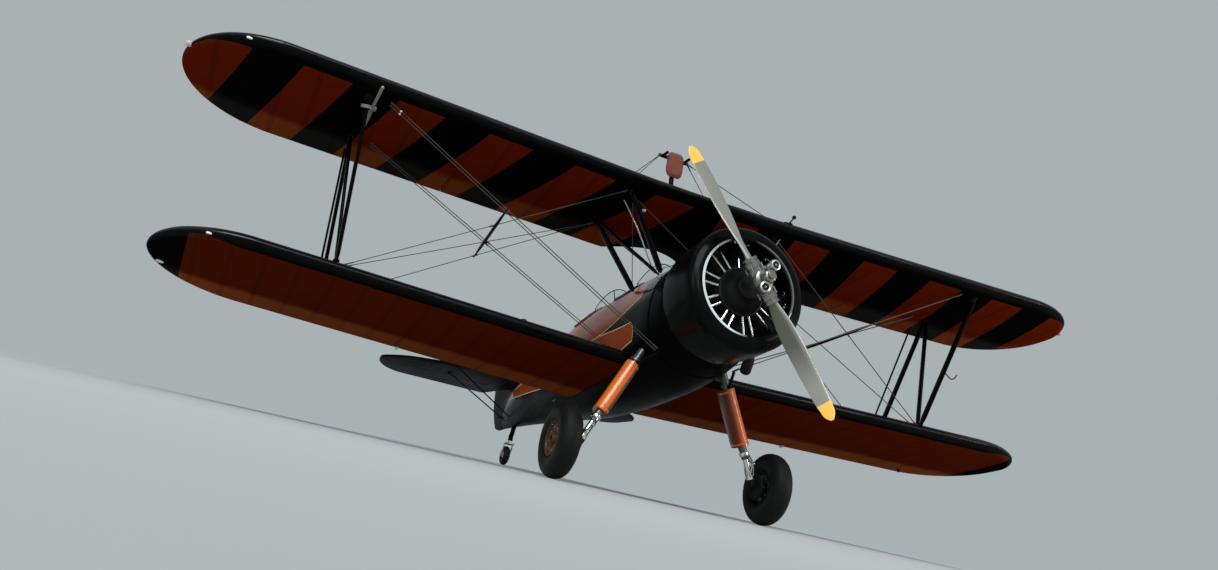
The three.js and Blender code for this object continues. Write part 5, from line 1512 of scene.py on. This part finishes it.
def fin_edges(height):
    """Leading and trailing edge at a height: smooth curves, and straight lines under the fin."""
    low = height < FIN_FOOT
    foot = through(FOOT[:, 0], FOOT[:, 1], np.minimum(height, 0.06)) + np.clip(height - 0.06, 0, 1) * 0.667
    return (np.where(low, 6.0, through(FIN[:, 0], FIN[:, 1], height)),
            np.where(low, foot, through(FIN[:, 0], FIN[:, 2], height)))


def upright(heights, moving):
    """The fin or the rudder."""
    return tail_part(heights, *fin_edges(heights), TAIL_THICK, RUDDER_HINGE_Y,
                     lambda s, y, h: xyz(h, y, s), moving)


s = np.concatenate((np.linspace(0.30, 1.38, 26), np.linspace(1.40, 1.52, 9)))
piece("fin_skin", [upright(s, False)], tail_cloth, replaces="fin")
s = np.concatenate((np.linspace(-0.100, 0.06, 9), np.linspace(0.09, 0.29, 6), s, (1.535,)))
piece("rudder_skin", [upright(s, True)], tail_cloth, body="rudder",
      replaces="rudder")
pins = [bar((0, RUDDER_HINGE_Y, z - 0.009), (0, RUDDER_HINGE_Y, z + 0.009), 0.0345, 20)
        for z in (0.76, 1.24)]
pins += [bar((0, RUDDER_HINGE_Y, 0.06), (side * 0.10, RUDDER_HINGE_Y + 0.006, 0.06), 0.008, 8)
         for side in (1, -1)]
piece("rudder_hinges_and_horn", pins, dark_metal, body="rudder")

# Tail wheel

TAILWHEEL = {"y": 6.4, "z": -0.52, "radius": 0.127, "tube": 0.042, "pivot": 6.27}
crown = TAILWHEEL["z"] + TAILWHEEL["radius"] + 0.025
centre = np.array((0, TAILWHEEL["y"], TAILWHEEL["z"]))
pivot = np.array((0, TAILWHEEL["pivot"], TAILWHEEL["z"]))
leg = [strut((0, 6.19, -0.10), pivot + (0, -0.005, 0.24), 0.088, 0.058),
       bar(pivot + (0, 0, 0.1805), pivot + (0, 0, 0.26), 0.032, 24)]
piece("tailwheel_post", leg, black, replaces="tailwheel_leg")
arm = TAILWHEEL["tube"] + 0.016
fork = [bar((0, TAILWHEEL["pivot"], crown - 0.018), pivot + (0, 0, 0.1795), 0.026, 24),
        block((0, TAILWHEEL["pivot"] + 0.025, crown - 0.008), (2 * arm + 0.016, 0.07, 0.02))]
for side in (1, -1):
    blade_path = line((side * arm, TAILWHEEL["pivot"] + 0.045, crown - 0.008),
                      centre + (side * arm, 0, -0.01), 4)
    sizes = ((0.023, 0.0068), (0.023, 0.0068), (0.022, 0.0068), (0.018, 0.0068))
    fork.append(shell(carried(blade_path, streamlined(16), sizes)))
    fork.append(bar(centre + (side * (arm - 0.004), 0, 0), centre + (side * (arm + 0.014), 0, 0), 0.013, 6))
fork.append(bar(centre - (arm, 0, 0), centre + (arm, 0, 0), 0.009, 12))
piece("tailwheel_yoke", fork, alloy, body="tailwheel_swivel", replaces="tailwheel_fork")
disc = mirrored([(0.0095, -0.024), (0.02, -0.024), (0.03, -0.012), (0.05, -0.013), (0.058, -0.022),
                 (0.062, -0.022)])
roller = tyre(centre, TAILWHEEL["radius"], TAILWHEEL["tube"], 0.060, 28, 16)
rim_disc = turned(disc, centre, (1, 0, 0), 32, along=True, coat=1)
piece("tailwheel_tyre", [roller, rim_disc], [rubber, alloy], body="tailwheel_roller", replaces="tailwheel")

# Standing rig on the upper wing: post, plate, stays and pad

RIG = {"y": 2.06, "top": 2.13, "half": 0.15}


def wing_top(y, x=0.0):
    """Height of the upper wing's top at a place."""
    aft = (y - UPPER["y"]) / math.cos(UPPER["tilt"])
    return float(skin_point(UPPER, x, aft, 1)[2])


head = np.array((0, RIG["y"] + 0.06, RIG["top"] - 0.02))
foot = np.array((0, RIG["y"], wing_top(RIG["y"])))
plate_y = RIG["y"] - 0.18
frame_parts = [
    bar(foot, head, 0.026, 24), bar(head - (RIG["half"], 0, 0), head + (RIG["half"], 0, 0), 0.02, 20),
    bar((0, RIG["y"] - 0.43, wing_top(RIG["y"] - 0.43)), (0, RIG["y"] + 0.03, RIG["top"] - 0.33),
        0.018, 18),
    turned(((0.03, 0.0), (0.06, 0.002), (0.06, 0.008), (0.03, 0.014), (0.027, 0.04)), foot, (0, 0, 1),
           28),
]
for side in (1, -1):
    x = side * (RIG["half"] - 0.02)
    frame_parts.append(bar((x, RIG["y"] + 0.06, RIG["top"] - 0.02), (x, RIG["y"] - 0.06, RIG["top"] - 0.03),
                           0.016, 16))
    frame_parts.append(ball((x, RIG["y"] - 0.058, RIG["top"] - 0.03), 0.016))
plate_top = 1.1953
frame_parts.append(block((0, plate_y, plate_top - 0.008), (0.42, 0.40, 0.016)))
for x, dy in ((-0.15, -0.33), (0.15, -0.33), (-0.15, -0.10), (0.15, -0.10)):
    q = np.array((x, RIG["y"] + dy, wing_top(RIG["y"] + dy, x)))
    frame_parts.append(bar(q, (q[0], q[1], plate_top - 0.01), 0.012, 14))
    frame_parts.append(turned(((0.028, 0.0), (0.028, 0.004), (0.014, 0.01)), q, (0, 0, 1), 16))
piece("standing_rig", frame_parts, black, replaces="rig_mast")
grip = [block((0, plate_y - 0.16 + 0.04 * k, plate_top + 0.0005), (0.38, 0.006, 0.002), 0.0005)
        for k in range(9)]
piece("plate_grip", grip, dark_metal)
for name, side in SIDES:
    eye = head + (side * (RIG["half"] + 0.0143), 0, 0)
    stays = [turned(((0.009, -0.012), (0.019, -0.010), (0.019, 0.010), (0.009, 0.012)),
                    eye + (side * 0.002, 0, 0), (1, 0, 0), 16)]
    for end in spars(UPPER, side, 0.81, 1):
        u = unit(end - eye)
        stays += [bar(eye, end, 0.0042, 8), bar(end - u * 0.08, end, 0.0085, 10),
                  bar(eye, eye + u * 0.09, 0.0075, 10)]
        stays.append(turned(((0.022, 0.0), (0.022, 0.003), (0.012, 0.008)), end, (0, 0, 1), 14))
    piece("rig_stay_wires_" + name, stays, wire, replaces="rig_stays_" + name)

# Cushions: a crowned form, then swollen by a cloth simulation

cloth = weathered("pad_cloth", (0.16, 0.035, 0.02), 0.75, 0.4, 9.0)
warp, weft = (cloth.noise(900.0, 1.0, stretch=stretch) for stretch in ((1, 1, 0.2), (0.2, 1, 1)))
cloth = cloth.bump(cloth.product(warp, weft), 0.0004, 0.5).material

# The cloth simulation's mesh size in metres, its pressure and how many frames it runs
PAD_VOXEL, PAD_PRESSURE, PAD_FRAMES = 0.005, 4.0, 20


def pillow(centre, size, turn=0.0, count=28):
    """A crowned pad: a superellipse in plan, its height falling by powers of the distance
    from the middle to a seam half-way up; turn tips it about x."""
    a = np.linspace(0, 2 * np.pi, 4 * count, endpoint=False)[None]
    c, s = np.cos(a), np.sin(a)
    lat = np.linspace(-np.pi / 2 + 0.04, np.pi / 2 - 0.04, count)[:, None]
    ring = np.cos(lat) ** 0.45
    x = np.sign(c) * np.abs(c) ** 0.32 * ring * size[0] / 2
    y = np.sign(s) * np.abs(s) ** 0.32 * ring * size[1] / 2
    z = np.sign(np.sin(lat)) * np.abs(np.sin(lat)) ** 0.7 * size[2] / 2 * (1 - 0.25 * np.abs(c * s))
    k, m = math.cos(turn), math.sin(turn)
    grid = xyz(x, y, z) @ np.array(((1, 0, 0), (0, k, m), (0, -m, k)))
    return shell(grid + np.asarray(centre, float))


def stuffed(made, cap):
    """Swells a pad with a cloth simulation whose points move no further than cap."""
    work = bpy.context.scene
    bpy.context.view_layer.objects.active = made
    made.data.remesh_voxel_size = PAD_VOXEL
    with bpy.context.temp_override(object=made, active_object=made, selected_objects=[made]):
        bpy.ops.object.voxel_remesh()
    before = np.empty(len(made.data.vertices) * 3)
    made.data.vertices.foreach_get("co", before)
    swell = made.modifiers.new("swell", "CLOTH")
    swell.settings.use_pressure = True
    swell.settings.uniform_pressure_force = PAD_PRESSURE
    swell.settings.effector_weights.gravity = 0.0
    swell.point_cache.frame_start, swell.point_cache.frame_end = 1, PAD_FRAMES
    for at in range(1, PAD_FRAMES + 1):
        work.frame_set(at)
    view = bpy.context.evaluated_depsgraph_get()
    after = np.empty_like(before)
    made.evaluated_get(view).data.vertices.foreach_get("co", after)
    move = (after - before).reshape(-1, 3)
    far = np.linalg.norm(move, axis=1, keepdims=True)
    move *= np.minimum(1, cap / np.maximum(far, 1e-9))
    made.modifiers.remove(swell)
    made.data.vertices.foreach_set("co", (before.reshape(-1, 3) + move).ravel())
    made.data.polygons.foreach_set("use_smooth", np.ones(len(made.data.polygons), bool))
    made.data.update()
    work.frame_set(1)
    smooth = made.modifiers.new("smooth", "SUBSURF")
    smooth.levels = smooth.render_levels = 1


rig_pad = piece("rig_cushion", [pillow((0, RIG["y"] + 0.004, RIG["top"] - 0.12), (0.205, 0.036, 0.315))],
                cloth, replaces="rig_pad")
stuffed(rig_pad, 0.008)
for name, start, end in COCKPITS:
    y = (start + end) / 2 + 0.06
    pan = FLOOR + 0.25
    stuffed(piece("seat_cushion_" + name, [pillow((0, y - 0.01, pan + 0.05), (0.365, 0.345, 0.06))], hide),
            0.012)
    stuffed(piece("back_cushion_" + name,
                  [pillow((0, y + 0.172, pan + 0.31), (0.36, 0.38, 0.045), math.radians(86))], hide), 0.012)
    oblong = ((1, 0.6), (1, -0.6), (0.9, -1), (-0.9, -1), (-1, -0.6), (-1, 0.6), (-0.9, 1), (0.9, 1))
    belts = []
    for x in (-0.1, 0.1):
        path = smooth_line(((x, y + 0.145, pan + 0.46), (x * 0.95, y + 0.125, pan + 0.32),
                            (x * 0.9, y + 0.10, pan + 0.18), (x * 0.8, y - 0.02, pan + 0.100),
                            (x * 0.75, y - 0.12, pan + 0.094)), 28)
        belts.append(shell(carried(path, oblong, ((0.022, 0.002),) * 28, (1, 0, 0))))
    piece("harness_" + name, belts, cloth)

# Tip lamps

lens = {}
for name, colour in (("left", (0.80, 0.28, 0.26)), ("right", (0.80, 0.56, 0.53))):
    made = Finish("lamp_lens_" + name, colour, 0.12)
    made.shader.inputs["Transmission Weight"].default_value = 0.25
    made.rough(made.span(made.noise(60.0, 2.0), 0.3, 0.7, 0.08, 0.2))
    lens[name] = made.material
for name, side in SIDES:
    at = on_wing(UPPER, side * 4.8596, 0.507, 0.0)
    dome = ((0.004, 0.0295), (0.014, 0.0262), (0.0225, 0.0195), (0.0275, 0.0105), (0.0292, 0.0),
            (0.0292, -0.012), (0.024, -0.02))
    piece("tip_lamp_" + name, [turned(dome, at, (0.93 * side, -0.367, 0), 28)], lens[name],
          replaces="nav_lamp_" + name)


# Stage, light and camera: the floor is lit to the backdrop's own brightness

SKY = (0.395, 0.440, 0.452)
FLOOR_SHARE = 0.42
floor_finish = Finish("floor_paint", (FLOOR_SHARE,) * 3, 0.9)
floor_finish.shader.inputs["Specular IOR Level"].default_value = 0.0
mottle = floor_finish.span(floor_finish.noise(0.4, 2.0), 0.3, 0.7)
floor_finish.colour(floor_finish.mix(mottle, (FLOOR_SHARE - 0.006,) * 3, (FLOOR_SHARE + 0.006,) * 3))
FLOOR_HALF = 900.0
x, y = np.meshgrid((-FLOOR_HALF, FLOOR_HALF), (-FLOOR_HALF, FLOOR_HALF))
floor = piece("floor", [shell(xyz(x, y, -0.001), around=False, ends=False)], floor_finish.material,
              body=None, level=False)

world = bpy.data.worlds.new("studio")
bpy.context.scene.world = world
world.use_nodes = True
world.node_tree.nodes["Background"].inputs["Color"].default_value = (*SKY, 1)


def look(place, aim, roll):
    """The matrix of something at place that looks at aim, turned about its sight by roll."""
    back = unit(np.subtract(place, aim))
    right = unit(np.cross((0, 0, 1), back))
    up = np.cross(back, right)
    c, s = math.cos(roll), math.sin(roll)
    matrix = np.eye(4)
    matrix[:3, 0], matrix[:3, 1] = c * right + s * up, c * up - s * right
    matrix[:3, 2], matrix[:3, 3] = back, place
    return Matrix(matrix.tolist())


def lamp(name, kind, place, aim, power, colour=(1, 1, 1), **settings):
    """A lamp at place that looks at aim."""
    light = bpy.data.lights.new(name, kind)
    light.energy, light.color = power, colour
    for key, value in settings.items():
        setattr(light, key, value)
    made = bpy.data.objects.new(name, light)
    bpy.context.scene.collection.objects.link(made)
    made.matrix_world = look(place, aim, 0.0)


SUN_FROM = np.array((-0.35, -0.75, 1.0))
missing = np.array(SKY) * math.pi * (1 - FLOOR_SHARE) / FLOOR_SHARE
lift = float(unit(SUN_FROM)[2])
lamp("soft_sun", "SUN", SUN_FROM * 20, (0, 0, 0), float(missing.max()) / lift,
     tuple(missing / missing.max()), angle=math.radians(35))
lamp("key", "AREA", (-7, -9, 5.5), (0, 0, 2), 90, shape="DISK", size=3.6)
lamp("front_left", "AREA", (8.5, -11.5, 5.5), (0, -3, 1.9), 140, shape="DISK", size=2.4)
lamp("left", "AREA", (9.0, -7.5, 3.2), (0.65, -2.3, 1.2), 190, (1.0, 0.88, 0.62), shape="DISK", size=1.2)
lamp("front", "AREA", (-1.3, -10.1, 5.5), (-0.6, -2.5, 0.8), 48, (1.0, 0.88, 0.62), shape="DISK", size=1.2)

bpy.context.scene.view_settings.view_transform = "Standard"

# Angles in degrees; focal is the focal length as a share of the picture's width
CAMERA = {"place": (-4.07, -11.22, 0.06), "azimuth": -19.9, "elevation": 10.5, "roll": 12.8,
          "focal": 1049 / 1218}
camera_data = bpy.data.cameras.new("camera")
camera_data.sensor_width = 36.0
camera_data.lens = 36.0 * CAMERA["focal"]
camera = bpy.data.objects.new("camera", camera_data)
bpy.context.scene.collection.objects.link(camera)
azimuth, elevation = math.radians(CAMERA["azimuth"]), math.radians(CAMERA["elevation"])
sight = np.array((-math.sin(azimuth) * math.cos(elevation), math.cos(azimuth) * math.cos(elevation),
                  math.sin(elevation)))
camera.matrix_world = look(CAMERA["place"], CAMERA["place"] + sight, math.radians(CAMERA["roll"]))
bpy.context.scene.camera = camera
